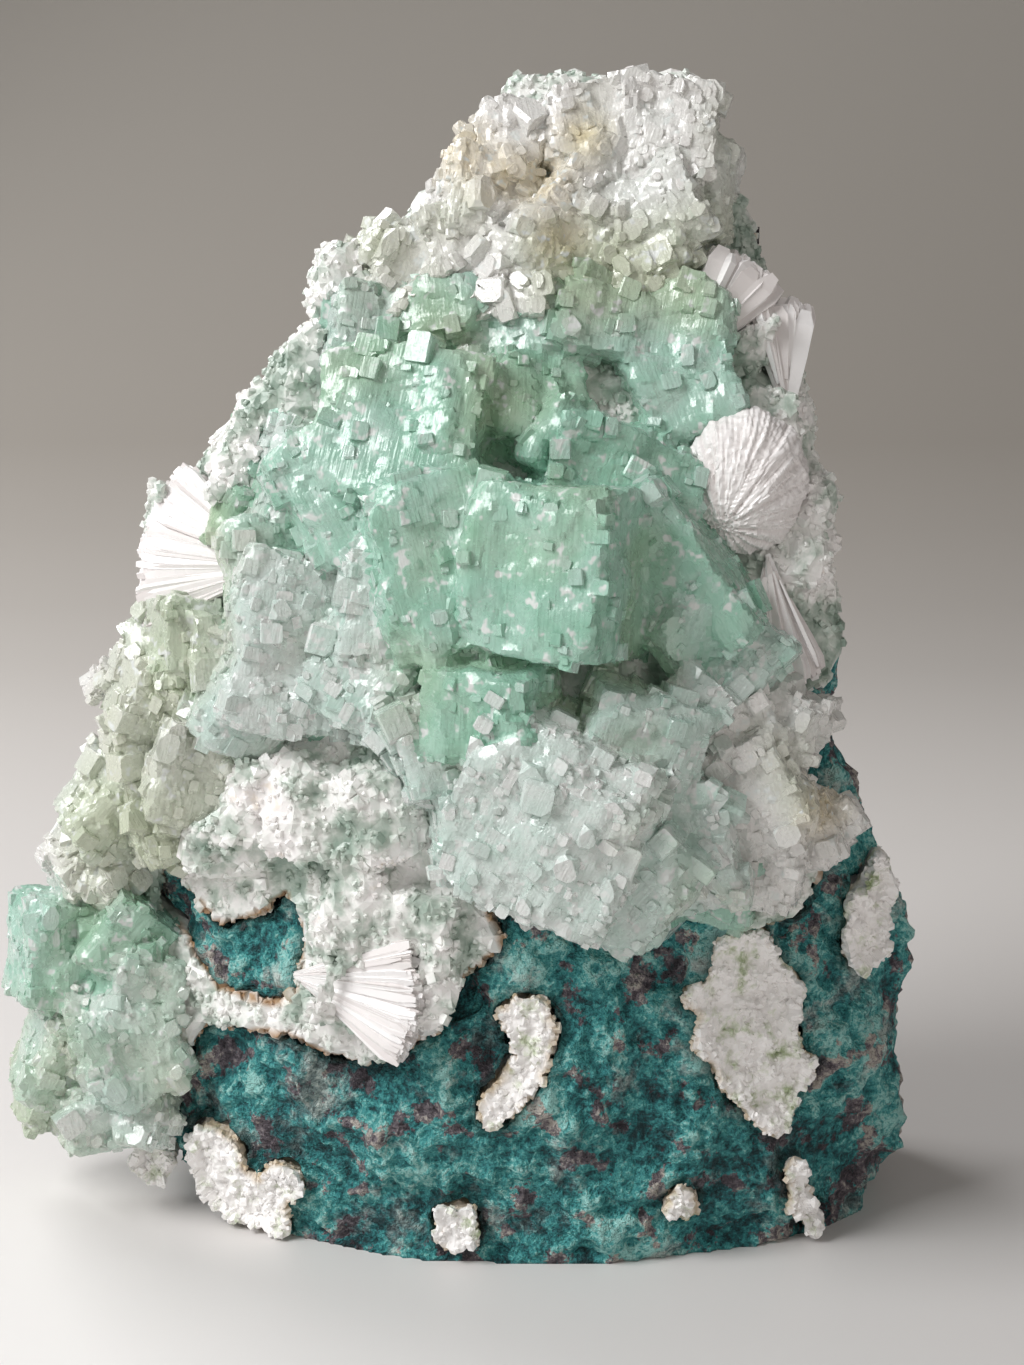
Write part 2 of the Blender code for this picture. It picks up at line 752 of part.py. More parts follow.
def give_material(made, kind):
    """A Principled material with the colour and roughness of that kind."""
    material = bpy.data.materials.get(kind)
    if material is None:
        colour, roughness = MATERIALS[kind]
        material = bpy.data.materials.new(kind)
        material.use_nodes = True
        shader = material.node_tree.nodes["Principled BSDF"]
        shader.inputs["Base Color"].default_value = (*colour, 1)
        shader.inputs["Roughness"].default_value = roughness
        shader.inputs["Metallic"].default_value = 0.0
        material.diffuse_color = (*colour, 1)
    made.data.materials.clear()
    made.data.materials.append(material)


CRYSTAL_GROUPS = {
    "green_apophyllite": (GREEN_BLOCKS, "green_apophyllite"),
    "peak_apophyllite": (PEAK_BLOCKS, "pale_apophyllite"),
    "right_edge_apophyllite": (RIGHT_EDGE_BLOCKS, "pale_apophyllite"),
    "left_edge_apophyllite": (LEFT_EDGE_BLOCKS, "pale_apophyllite"),
    "left_foot_apophyllite": (FOOT_BLOCKS, "green_apophyllite"),
}


def crystals(blocks, grow=0.0):
    """The crystals of a group."""
    return [crystal(block, grow) for block in blocks]


def stilbites(grow=0.0):
    """The closed shapes of each stilbite node, by name."""
    shapes = {"stilbite_rosette": [rosette(grow)]}
    for name, spray in STILBITE_SPRAYS.items():
        shapes[name] = [blade(spray, i, grow) for i in range(spray.blades)]
    return shapes


def fillings(grow=0.0):
    """The closed shape of each filling, by name."""
    return {name: [filling(outline, grow)] for name, outline in FILLINGS.items()}


def flattened(shapes):
    """The shapes of all the nodes of a dictionary, in one list."""
    return [shape for node_shapes in shapes.values() for shape in node_shapes]


def on_crust(solid, collection):
    """Cuts off what would lie inside the crust."""
    return combine(solid, [object_from(bed(), "cutter", collection)], "DIFFERENCE")


def make_stilbites(collection):
    """The stilbite rosette and sprays, each clear of those before it."""
    made, before = [], []
    for name, shapes in stilbites().items():
        solid = on_crust(joined(name, shapes, collection), collection)
        room = [shape for earlier in before for shape in stilbites(GAP)[earlier]]
        cut_by(solid, room, collection)
        before.append(name)
        made.append(finished(solid, "stilbite"))
    return made


def make_crystals(collection):
    """The joined apophyllite crystals of each group, which stand on the crust."""
    made, before = [], []
    for name, (blocks, kind) in CRYSTAL_GROUPS.items():
        solid = on_crust(joined(name, crystals(blocks), collection), collection)
        cut_by(solid, flattened(stilbites(GAP)) + crystals(before, GAP), collection)
        before += blocks
        made.append(finished(solid, kind))
    return made


def make_fillings(collection):
    """The fillings in the basalt."""
    made = []
    for name, shapes in fillings().items():
        solid = joined(name, shapes, collection)
        cut_by(solid, crystals(FOOT_BLOCKS, GAP), collection)
        made.append(finished(solid, "filling"))
    return made


def room_for_crystals():
    """The room that all the crystals and stilbites take up."""
    blocks = [block for group, _ in CRYSTAL_GROUPS.values() for block in group]
    return crystals(blocks, GAP) + flattened(stilbites(GAP))


def make_crust(collection):
    """The crust: its layer and small crystals, cut to its edge on the basalt."""
    small = joined("white_crust", crystals(CRUST_BLOCKS), collection)
    cut_by(small, room_for_crystals(), collection)
    layer = object_from(crust_sheet(crust_front, crust_back), "layer", collection)
    crust = combine(layer, [small], "UNION")
    crust.name = "white_crust"
    edge = object_from(prism(CRUST_EDGE, THROUGH), "cutter", collection)
    combine(crust, [edge], "INTERSECT")
    island = object_from(prism(ISLAND_EDGE, THROUGH), "cutter", collection)
    cut_by(crust, flattened(fillings(GAP)), collection, [island])
    return finished(crust, "white_crust")


def make_basalt(collection):
    """The basalt lump, with room for everything that lines it."""
    basalt = object_from(basalt_body(), "basalt", collection)
    pocket = object_from(crust_room(), "cutter", collection)
    edge = prism(widened(CRUST_EDGE, GAP), THROUGH)
    combine(pocket, [object_from(edge, "cutter", collection)], "INTERSECT")
    island = prism(widened(ISLAND_EDGE, -GAP), THROUGH)
    combine(pocket, [object_from(island, "cutter", collection)], "DIFFERENCE")
    combine(basalt, [pocket], "DIFFERENCE")
    shapes = crystals(CRUST_BLOCKS, GAP) + flattened(fillings(GAP))
    cut_by(basalt, shapes + room_for_crystals(), collection)
    return finished(basalt, "basalt")


def main():
    noise.seed_set(SEED)
    for old in list(bpy.data.objects):
        bpy.data.objects.remove(old)
    specimen = bpy.data.collections.new("apophyllite_specimen")
    bpy.context.scene.collection.children.link(specimen)
    stand = bpy.data.objects.new("specimen", None)
    specimen.objects.link(stand)

    made = make_stilbites(specimen) + make_crystals(specimen) + make_fillings(specimen)
    made += [make_crust(specimen), make_basalt(specimen)]

    bpy.context.view_layer.update()
    corners = [o.matrix_world @ Vector(c) for o in made for c in o.bound_box]
    low = Vector(min(c[i] for c in corners) for i in range(3))
    high = Vector(max(c[i] for c in corners) for i in range(3))
    shift = Vector((-(low.x + high.x) / 2, -(low.y + high.y) / 2, -low.z))
    for solid in made:
        solid.parent = stand
    stand.location = shift


main()
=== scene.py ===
"""Looks of the apophyllite specimen: green and white apophyllite, stilbite sprays and a
white crystal crust on green-stained basalt, on a pale studio floor.

Places are in millimetres in the modelling frame, whose front face is described by
face_y below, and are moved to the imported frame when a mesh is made.
"""

import math
import random
from collections import namedtuple

import bmesh
import bpy
import numpy as np
from mathutils import Matrix, Vector, kdtree, noise


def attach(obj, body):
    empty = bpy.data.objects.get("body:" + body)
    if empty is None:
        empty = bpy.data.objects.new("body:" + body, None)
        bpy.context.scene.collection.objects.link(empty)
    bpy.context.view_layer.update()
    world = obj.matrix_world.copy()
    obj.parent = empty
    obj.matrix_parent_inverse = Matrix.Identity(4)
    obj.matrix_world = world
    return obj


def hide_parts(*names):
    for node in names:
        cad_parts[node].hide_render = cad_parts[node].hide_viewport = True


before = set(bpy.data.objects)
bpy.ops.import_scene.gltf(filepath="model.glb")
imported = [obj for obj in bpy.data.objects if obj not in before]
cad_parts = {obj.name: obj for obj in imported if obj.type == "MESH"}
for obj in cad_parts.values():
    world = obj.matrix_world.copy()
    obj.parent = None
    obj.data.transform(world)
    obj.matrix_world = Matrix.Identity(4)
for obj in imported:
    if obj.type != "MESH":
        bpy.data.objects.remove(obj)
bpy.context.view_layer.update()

MM = 0.001
SHIFT = Vector((1.399344, 12.467292, 0.0))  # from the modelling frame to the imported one
SEED = 20
# Fineness of the crystals' etched faces, and of those of a cluster with many crystals.
FINE_VOXEL = 0.5
COARSE_VOXEL = 0.66
MANY_CRYSTALS = 150

# The camera, as the photograph was taken: it looks slightly down at the crystal face.
CAMERA_TARGET = Vector((6.5, -20.0, 72.0))
CAMERA_DISTANCE = 333.0
CAMERA_PITCH = 12.0
CAMERA_LENS = 70.0

# Depth (y) of the front face at each height, and how it falls back at the sides.
FACE_PROFILE = (
    (-20, -30),
    (0, -34),
    (20, -36),
    (45, -36),
    (70, -36),
    (90, -30),
    (110, -20),
    (130, -11),
    (150, -4),
    (170, 0),
)
FACE_MIDDLE = 12.0
FACE_ROUNDING = 0.0065

# One crystal: centre on the face (x, z), size across, into and up the face, how far the
# centre stands out of the face, turns in degrees, the share of an edge that a corner
# face cuts off, and how white it is (0 green, 1 white).
Block = namedtuple("Block", "x z wide deep tall proud tilt yaw roll chop white")

GREEN_BLOCKS = (
    Block(-6, 102.5, 20, 18, 20, 3.0, -24, -14, 14, 0.24, 0.10),
    Block(-13.5, 96, 16, 17, 16, 2.0, -18, 16, -30, 0.30, 0.15),
    Block(12, 89, 17.5, 19, 20, 7.5, -6, -24, 4, 0.22, 0.05),
    Block(-1, 89, 19, 17, 21, 3.5, -12, 12, -14, 0.26, 0.10),
    Block(4, 73.5, 13, 12, 10.5, 6.5, 2, -22, 2, 0.10, 0.00),
    Block(-3.5, 68.5, 8.5, 9, 10.5, 4.5, -4, 16, -20, 0.14, 0.55),
    Block(-10.5, 84, 7, 8, 13, 6.0, -8, 10, 8, 0.18, 0.65),
    Block(11, 61, 22, 16, 23, 6.0, 8, -8, 24, 0.34, 0.70),
    Block(1.5, 58.5, 9, 10, 11, 4.0, 4, 14, -6, 0.30, 0.55),
    Block(20, 55, 17, 14, 17, 4.5, 14, -14, 38, 0.34, 0.55),
    Block(29, 55, 9.5, 7, 13.5, 6.0, 8, -18, -20, 0.08, 0.60),
    Block(19, 98.5, 19, 14, 10, 1.5, -16, 10, 16, 0.14, 0.00),
    Block(26, 88, 12, 13, 22, 2.0, -8, -12, -34, 0.12, 0.05),
    Block(28.5, 82.5, 10, 9, 10, 4.0, -6, 20, 34, 0.14, 0.25),
    Block(34.5, 78, 9, 8, 9, 2.5, -6, -16, 42, 0.06, 0.40),
    Block(21.5, 69.5, 14, 11, 12, 4.5, 4, 10, 18, 0.24, 0.50),
    Block(28.5, 73, 8, 8, 8, 3.5, 0, -14, 40, 0.12, 0.60),
    Block(17, 116.5, 12, 10, 9, 2.2, -22, 10, 10, 0.24, 0.25),
    Block(27.5, 115, 11, 10, 12, 2.2, -22, -14, 14, 0.22, 0.25),
    Block(27.5, 107.5, 12, 11, 11, 1.0, -20, 8, -20, 0.18, 0.15),
    Block(8.5, 107.5, 10, 10, 10, 1.0, -24, 18, 4, 0.08, 0.05),
    Block(-3, 117.5, 12, 9, 7, 1.6, -24, -10, -6, 0.12, 0.15),
    Block(-11, 115.5, 10, 9, 11, 2.2, -24, 12, 10, 0.16, 0.55),
    Block(9.5, 116, 12, 9, 9, 1.0, -24, -8, -18, 0.26, 0.30),
    Block(12.5, 102, 11, 10, 9, 0.6, -18, 24, 30, 0.14, 0.05),
    Block(-20, 98, 10, 10, 13, 1.6, -18, 22, 14, 0.28, 0.60),
    Block(-24.5, 88, 9, 10, 10, 3.0, -14, 18, -8, 0.28, 0.45),
    Block(-20, 79, 16, 13, 20, 2.6, -8, 12, 10, 0.34, 0.70),
    Block(-26.5, 71, 11, 11, 11, 2.2, -4, 20, 34, 0.28, 0.60),
    Block(-11, 75.5, 12, 12, 12, 1.6, -4, -12, 26, 0.30, 0.55),
)

LEFT_EDGE_BLOCKS = (
    Block(-34, 78.5, 8, 9, 9, 3.0, -10, 26, 2, 0.08, 0.35),
    Block(-29.5, 77.5, 7, 8, 9, 2.4, -10, 14, -4, 0.10, 0.40),
    Block(-39, 71, 9, 9, 9, 2.4, -6, 30, 18, 0.22, 0.75),
    Block(-39.5, 63.5, 8, 8, 10, 1.8, -4, 26, -12, 0.18, 0.80),
    Block(-33, 62, 10, 9, 12, 2.4, -6, 14, 14, 0.22, 0.70),
    Block(-44, 55.5, 10, 9, 11, 2.6, -4, 30, 42, 0.14, 0.45),
    Block(-46, 48.5, 8, 8, 9, 2.0, 0, 34, 16, 0.16, 0.75),
    Block(-37, 55, 9, 8, 8, 2.0, 0, 20, -24, 0.20, 0.75),
)

FOOT_BLOCKS = (
    Block(-51.5, 35.5, 13, 12.5, 14, 4.5, -4, 24, 8, 0.16, 0.15),
    Block(-43, 38.5, 9, 9, 11, 2.2, -4, 16, 42, 0.08, 0.10),
    Block(-48.5, 27, 7, 8, 7.5, 6.0, -6, 20, -14, 0.08, 0.60),
    Block(-50.8, 20.5, 12.5, 12, 12.5, 3.4, 6, 24, 30, 0.22, 0.50),
    Block(-42.5, 24, 12, 11, 13, 3.0, 2, 12, -28, 0.20, 0.45),
    Block(-55, 14, 9, 9, 8, 1.6, 14, 26, 12, 0.24, 0.60),
    Block(-46, 15, 14, 11, 8, 2.2, 12, 14, -6, 0.24, 0.65),
    Block(-41, 32, 9, 9, 10, 2.2, 0, 14, 12, 0.22, 0.45),
)

PEAK_BLOCKS = (
    Block(25, 139, 13, 11, 13, 1.4, -14, -10, 14, 0.30, 0.90),
    Block(15.5, 140, 11, 10, 10, 1.2, -14, 12, -10, 0.26, 1.00),
    Block(5.5, 137.5, 10, 9, 8.5, 1.2, -18, 16, -30, 0.28, 1.00),
    Block(24, 129, 14, 11, 11, 2.2, -18, -10, -26, 0.12, 0.65),
    Block(12.5, 126, 12, 10, 12, 1.6, -20, 8, 30, 0.12, 0.75),
    Block(3, 131, 11, 10, 11, 1.4, -20, 16, 10, 0.26, 0.95),
    Block(0, 125, 10, 9, 9, 1.2, -22, 12, -18, 0.24, 0.95),
    Block(30, 132.5, 8, 9, 12, 0.6, -14, -20, 8, 0.24, 0.65),
    Block(17, 133.5, 10, 9, 9, 1.0, -18, 12, 34, 0.24, 0.85),
    Block(22.5, 122.5, 14, 7, 5.5, 2.4, -18, -6, -30, 0.20, 0.85),
    Block(-7, 122.5, 9, 8, 8, 1.0, -22, 14, 20, 0.22, 0.95),
)

RIGHT_EDGE_BLOCKS = (
    Block(35.5, 62, 12, 10, 14, 3.0, 0, -10, -26, 0.24, 0.85),
    Block(40.5, 70, 8, 8, 8, 1.4, 0, -20, 20, 0.26, 0.80),
    Block(36.5, 53.5, 11, 9, 11, 1.6, 6, -12, 12, 0.20, 0.85),
    Block(42, 56, 9, 8, 8, 1.0, 2, -20, -20, 0.22, 0.95),
    Block(34, 70.5, 7, 7, 8, 2.2, 0, 8, -18, 0.28, 0.75),
)

ALL_BLOCKS = GREEN_BLOCKS + LEFT_EDGE_BLOCKS + FOOT_BLOCKS + PEAK_BLOCKS + RIGHT_EDGE_BLOCKS

# A spray of stilbite: foot on the face (x, z), how far it stands out there, its first
# and last direction in degrees, its length and thickness, how much the tips rise, how
# many blades it has, how wide they are and how much they twist.
Spray = namedtuple("Spray", "x z proud first last long thick rise blades wide twist")

SPRAYS = {
    "stilbite_fan_left": Spray(-22.5, 87.5, 1.5, 136, 208, 19.5, 3.4, 1.8, 380, 1.9, 0.35),
    "stilbite_sheaf_upper": Spray(27.5, 112.5, 3.0, 34, 72, 15.5, 3.6, 1.8, 60, 3.2, 0.5),
    "stilbite_sheaf_right": Spray(40.5, 105.0, 1.8, 78, 106, 15.5, 4.0, 0.6, 60, 3.0, 0.6),
    "stilbite_bow_right": Spray(37.5, 89.5, 1.2, 258, 296, 16.5, 4.4, 0.0, 110, 1.8, 0.6),
    "stilbite_spray_lower": Spray(-20.5, 37.5, 2.6, 322, 384, 17.5, 3.4, 0.8, 360, 1.5, 0.5),
}

# The ball of blades: its middle (x, z), and how far it stands out of the face.
ROSETTE_CENTRE = (34.6, 98.2)
ROSETTE_PROUD = 3.8

# Where no small crystals grow over the sprays: middle (x, z) and radius.
KEPT_CLEAR = (
    (-31.0, 90.0, 9.5),
    (34.6, 98.2, 10.5),
    (32.0, 118.0, 6.5),
    (40.0, 112.0, 7.0),
    (-13.0, 35.0, 9.0),
)

FILLINGS = (
    "filling_right",
    "filling_middle",
    "filling_right_edge",
    "filling_lower_left",
    "filling_foot",
    "filling_streak",
    "filling_left_edge",
    "filling_speck",
)


def between(points, at):
    """The value at one height of a profile given as (height, value) points."""
    if at <= points[0][0]:
        return points[0][1]
    for (low, first), (high, second) in zip(points, points[1:]):
        if at <= high:
            return first + (second - first) * (at - low) / (high - low)
    return points[-1][1]


def face_y(x, z):
    """Depth of the specimen's front face, in the modelling frame."""
    return between(FACE_PROFILE, z) + FACE_ROUNDING * (x - FACE_MIDDLE) ** 2


def to_frame(place):
    """A place in the modelling frame, in millimetres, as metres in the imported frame."""
    return (Vector(place) + SHIFT) * MM


def per(size):
    """The scale of a pattern on Object coordinates that repeats after so many mm."""
    return 1 / (size * MM)


def linear(hex_colour):
    """A linear colour with alpha from an sRGB hex value."""
    made = []
    for at in (1, 3, 5):
        share = int(hex_colour[at : at + 2], 16) / 255
        low = share / 12.92
        high = ((share + 0.055) / 1.055) ** 2.4
        made.append(low if share <= 0.04045 else high)
    return (*made, 1.0)


def add(tree, kind, links=None, stops=None, **settings):
    """Adds a shader node to a tree. links gives each input a value or another node's
    output, stops are the (place, hex colour) points of a ramp."""
    made = tree.nodes.new("ShaderNode" + kind)
    for name, value in settings.items():
        setattr(made, name, value)
    if stops:
        points = made.color_ramp.elements
        while len(points) < len(stops):
            points.new(1.0)
        for point, (place, colour) in zip(points, stops):
            point.position = place
            point.color = linear(colour)
    for name, value in (links or {}).items():
        if isinstance(value, bpy.types.NodeSocket):
            tree.links.new(value, made.inputs[name])
        else:
            made.inputs[name].default_value = value
    return made


def new_material(name, *patterns):
    """An empty node material, its tree, its output node, Object coordinates and, on
    these, noise patterns given as (size in mm, detail, roughness)."""
    material = bpy.data.materials.new(name)
    material.use_nodes = True
    tree = material.node_tree
    tree.nodes.clear()
    output = add(tree, "OutputMaterial")
    place = add(tree, "TexCoord").outputs["Object"]
    fields = []
    for size, detail, roughness in patterns:
        inputs = {"Vector": place, "Scale": per(size), "Detail": detail, "Roughness": roughness}
        fields.append(add(tree, "TexNoise", inputs).outputs["Fac"])
    return material, tree, output, place, *fields


def apophyllite_material(name, tones, clear, absorbed, density):
    """Apophyllite: a glassy skin over a body that is milky with veils and clouds, with
    white spots that are partly frosting and partly painted glints, and faces etched in
    fine grooves along the crystal."""
    material, tree, output, place, hue, veil, cloud, spot, etch = new_material(
        name, (22.0, 1, 0.5), (8.0, 2, 0.5), (2.6, 3, 0.65), (2.0, 2, 0.6), (0.9, 2, 0.7)
    )
    # Grooves are half a millimetre apart and several millimetres long.
    groove_scale = (1.9, 1.9, 0.12)
    olive, yellow, frost_glint_white = (linear(colour) for colour in ("#BFCBA2", "#F0DA9E", "#F1F5F2"))
    white, stain = (
        add(tree, "Attribute", attribute_name=kept).outputs["Fac"]
        for kept in ("white", "stain")
    )
    along = add(tree, "Attribute", attribute_name="along").outputs["Vector"]
    stretched = add(tree, "Mapping", {"Vector": along, "Scale": groove_scale}).outputs[0]
    inputs = {"Vector": stretched, "Scale": 1.0, "Detail": 2.0, "Roughness": 0.6}
    groove = add(tree, "TexNoise", inputs).outputs["Fac"]
    tone = white
    for field, share in ((veil, 0.6), (cloud, 0.45)):
        inputs = {0: field, 1: share, 2: tone}
        tone = add(tree, "Math", inputs, operation="MULTIPLY_ADD").outputs[0]
    level = add(tree, "MapRange", {"Value": tone, "From Min": 0.32, "From Max": 1.5})
    shade = add(tree, "ValToRGB", {"Fac": level.outputs[0]}, tones).outputs[0]
    inputs = {"Value": hue, "From Min": 0.50, "From Max": 0.72, "To Max": 0.6}
    olive_at = add(tree, "MapRange", inputs).outputs[0]
    stained = add(tree, "Math", {0: stain, 1: cloud}, operation="MULTIPLY").outputs[0]
    # Painted highlight: white spots, partly frosting and partly painted glints.
    frost_and_glint = add(tree, "MapRange", {"Value": spot, "From Min": 0.60, "From Max": 0.68}).outputs[0]
    for share, colour in ((olive_at, olive), (stained, yellow), (frost_and_glint, frost_glint_white)):
        inputs = {"Factor": share, 6: shade, 7: colour}
        shade = add(tree, "Mix", inputs, data_type="RGBA").outputs[2]
    inputs = {"Value": spot, "From Min": 0.35, "From Max": 0.65, "To Min": 0.10, "To Max": 0.42}
    rough = add(tree, "MapRange", inputs).outputs[0]
    dull = add(tree, "Math", {0: white, 1: 0.35, 2: 0.30}, operation="MULTIPLY_ADD").outputs[0]
    fine = add(tree, "Math", {0: etch, 1: dull}, operation="MULTIPLY").outputs[0]
    height = add(tree, "Math", {0: groove, 1: 0.7, 2: fine}, operation="MULTIPLY_ADD").outputs[0]
    bump = add(tree, "Bump", {"Height": height, "Strength": 0.5, "Distance": 0.0005}).outputs[0]
    look = {"Base Color": shade, "Roughness": rough, "IOR": 1.535, "Transmission Weight": clear}
    glaze = {"Coat Weight": 0.5, "Coat Roughness": 0.06, "Normal": bump}
    shader = add(tree, "BsdfPrincipled", look | glaze)
    tree.links.new(shader.outputs["BSDF"], output.inputs["Surface"])
    absorb = add(tree, "VolumeAbsorption", {"Color": linear(absorbed), "Density": density})
    tree.links.new(absorb.outputs["Volume"], output.inputs["Volume"])
    return material


GREEN_TONES = (
    (0.00, "#93C9AF"),
    (0.22, "#ACD9C5"),
    (0.45, "#C6E4D8"),
    (0.72, "#E0EEE8"),
    (1.00, "#F6F7F5"),
)
PALE_TONES = ((0.00, "#B5CFC0"), (0.35, "#D4E1D8"), (0.65, "#ECEFEA"), (1.00, "#F7F5F2"))


def crust_material():
    """White druse: countless small sparkling crystals, greenish where quartz shows and
    brown in a thin rim beside the basalt."""
    material, tree, output, _, patch, cloud, grain = new_material(
        "white_druse", (8.0, 3, 0.5), (2.5, 3, 0.65), (0.5, 2, 0.7)
    )
    rim = add(tree, "Attribute", attribute_name="rim").outputs["Fac"]
    mixed = add(tree, "Math", {0: cloud, 1: 0.5, 2: patch}, operation="MULTIPLY_ADD").outputs[0]
    tones = ((0.56, "#8FA295"), (0.68, "#BCC7BD"), (0.78, "#E9EAE6"), (0.92, "#F6F3F2"), (1, "#EBE3D8"))
    shade = add(tree, "ValToRGB", {"Fac": mixed}, tones).outputs["Color"]
    rim_share = add(tree, "MapRange", {"Value": rim, "From Min": 0.45, "From Max": 0.9}).outputs[0]
    inputs = {"Factor": rim_share, 6: shade, 7: linear("#B08F6E")}
    rimmed = add(tree, "Mix", inputs, data_type="RGBA").outputs[2]
    bump = add(tree, "Bump", {"Height": grain, "Strength": 0.3, "Distance": 0.0003}).outputs[0]
    look = {"Base Color": rimmed, "Roughness": 0.35, "IOR": 1.5, "Normal": bump}
    glaze = {"Coat Weight": 0.3, "Coat Roughness": 0.12}
    shader = add(tree, "BsdfPrincipled", look | glaze)
    tree.links.new(shader.outputs["BSDF"], output.inputs["Surface"])
    return material


def stilbite_material():
    """Stilbite: pearly white sheaves with silky fibres."""
    material, tree, output, _, cloud = new_material("stilbite", (2.5, 2, 0.5))
    fibre = add(tree, "Attribute", attribute_name="fibre").outputs["Fac"]
    tones = ((0.0, "#DDD7D5"), (0.5, "#EDE9E8"), (1.0, "#FAF9F9"))
    shade = add(tree, "ValToRGB", {"Fac": fibre}, tones).outputs["Color"]
    inputs = {"Value": cloud, "From Min": 0.3, "From Max": 0.7, "To Min": 0.22, "To Max": 0.45}
    rough = add(tree, "MapRange", inputs).outputs[0]
    shader = add(tree, "BsdfPrincipled", {"Base Color": shade, "Roughness": rough, "IOR": 1.5})
    tree.links.new(shader.outputs["BSDF"], output.inputs["Surface"])
    return material


TEAL_TONES = (
    (0.05, "#0B3337"),
    (0.30, "#1C5B5F"),
    (0.52, "#2F8284"),
    (0.75, "#52A3A1"),
    (1.00, "#9AD0CA"),
)
ASH_TONES = ((0.05, "#3B4648"), (0.50, "#7C8685"), (1.00, "#C3C6C1"))
BARE_TONES = ((0.05, "#29252A"), (0.40, "#4B444B"), (0.70, "#756D72"), (1.00, "#B5AEA6"))


def basalt_material():
    """Basalt: crumbly rock whose front has an earthy skin of teal celadonite, turquoise
    on its flakes, lighter on its raised relief and darker in its hollows as painted
    highlight and shade, nearly black beside the crust as painted shade, and whose bare
    patches and back are purple-grey."""
    material, tree, output, place, bare_at, mottle, speck, grain = new_material(
        "celadonite_basalt", (5.5, 5, 0.66), (3.0, 3, 0.7), (0.7, 2, 0.75), (0.3, 1, 0.7)
    )
    pale_size, warp_size, warp, flake_size = 8.0, 1.5, 0.0016, 1.7
    rim, relief = (
        add(tree, "Attribute", attribute_name=kept).outputs["Fac"]
        for kept in ("rim", "relief")
    )
    moved = add(tree, "Mapping", {"Vector": place, "Location": (0.07, 0.03, 0.05)}).outputs["Vector"]
    inputs = {"Vector": moved, "Scale": per(pale_size), "Detail": 5.0, "Roughness": 0.7}
    pale_at = add(tree, "TexNoise", inputs).outputs["Fac"]
    inputs = {"Vector": place, "Scale": per(warp_size), "Detail": 1.0}
    crooked = add(tree, "TexNoise", inputs).outputs["Color"]
    warped = add(tree, "Mix", {"Factor": warp, 6: place, 7: crooked}, data_type="RGBA").outputs[2]
    flake = add(tree, "TexVoronoi", {"Vector": warped, "Scale": per(flake_size)})
    flake_tone = add(tree, "SeparateColor", {"Color": flake.outputs["Color"]}).outputs["Red"]
    # Painted highlight and shade: relief lightens raised rock and darkens its hollows; speck, mottle and
    # flakes vary the tone at random.
    lit = speck
    for field, share in ((relief, 0.5), (mottle, 0.6), (flake_tone, 0.22)):
        inputs = {0: field, 1: share, 2: lit}
        lit = add(tree, "Math", inputs, operation="MULTIPLY_ADD").outputs[0]
    level = add(tree, "MapRange", {"Value": lit, "From Min": 0.74, "From Max": 1.40}).outputs[0]
    shade, ash, rock = (
        add(tree, "ValToRGB", {"Fac": level}, tones).outputs["Color"]
        for tones in (TEAL_TONES, ASH_TONES, BARE_TONES)
    )
    depth = add(tree, "SeparateXYZ", {"Vector": place}).outputs["Y"]
    inputs = {"Value": depth, "From Min": -0.012, "From Max": 0.012, "To Max": 0.13}
    back = add(tree, "MapRange", inputs).outputs[0]
    bare_sum = add(tree, "Math", {0: bare_at, 1: back}, operation="ADD").outputs[0]
    # Where the rock is ashen, where it is bare, and the painted shade that makes it dark beside the
    # crust.
    for field, low, high, most, colour in (
        (pale_at, 0.54, 0.64, 0.8, ash),
        (bare_sum, 0.555, 0.58, 1.0, rock),
        (rim, 0.1, 1.0, 0.85, linear("#0C3A38")),
    ):
        inputs = {"Value": field, "From Min": low, "From Max": high, "To Max": most}
        share = add(tree, "MapRange", inputs).outputs[0]
        inputs = {"Factor": share, 6: shade, 7: colour}
        shade = add(tree, "Mix", inputs, data_type="RGBA").outputs[2]
    height = speck
    for field, share in ((flake.outputs["Distance"], -0.9), (grain, 0.5)):
        inputs = {0: field, 1: share, 2: height}
        height = add(tree, "Math", inputs, operation="MULTIPLY_ADD").outputs[0]
    bump = add(tree, "Bump", {"Height": height, "Strength": 1.0, "Distance": 0.0009}).outputs[0]
    shader = add(tree, "BsdfPrincipled", {"Base Color": shade, "Roughness": 0.7, "Normal": bump})
    tree.links.new(shader.outputs["BSDF"], output.inputs["Surface"])
    return material


def filling_material():
    """A bubble's filling: sugary white zeolite with greenish quartz in its heart and a
    thin cream rim."""
    material, tree, output, _, cloud, grain = new_material(
        "bubble_filling", (3.2, 4, 0.65), (0.5, 2, 0.7)
    )
    rim = add(tree, "Attribute", attribute_name="rim").outputs["Fac"]
    tones = ((0.3, "#A5B38C"), (0.38, "#DDE1D2"), (0.46, "#F7F5F3"), (0.64, "#FCFAF9"), (0.76, "#E6DFD7"))
    shade = add(tree, "ValToRGB", {"Fac": cloud}, tones).outputs["Color"]
    inputs = {"Factor": rim, 6: shade, 7: linear("#C9B596")}
    rimmed = add(tree, "Mix", inputs, data_type="RGBA").outputs[2]
    bump = add(tree, "Bump", {"Height": grain, "Strength": 0.35, "Distance": 0.0003}).outputs[0]
    look = {"Base Color": rimmed, "Roughness": 0.4, "Normal": bump}
    glaze = {"Coat Weight": 0.2, "Coat Roughness": 0.15}
    shader = add(tree, "BsdfPrincipled", look | glaze)
    tree.links.new(shader.outputs["BSDF"], output.inputs["Surface"])
    return material


def mesh_from(bm, name):
    """A mesh from a bmesh, which is used up."""
    mesh = bpy.data.meshes.new(name)
    bm.to_mesh(mesh)
    bm.free()
    return mesh


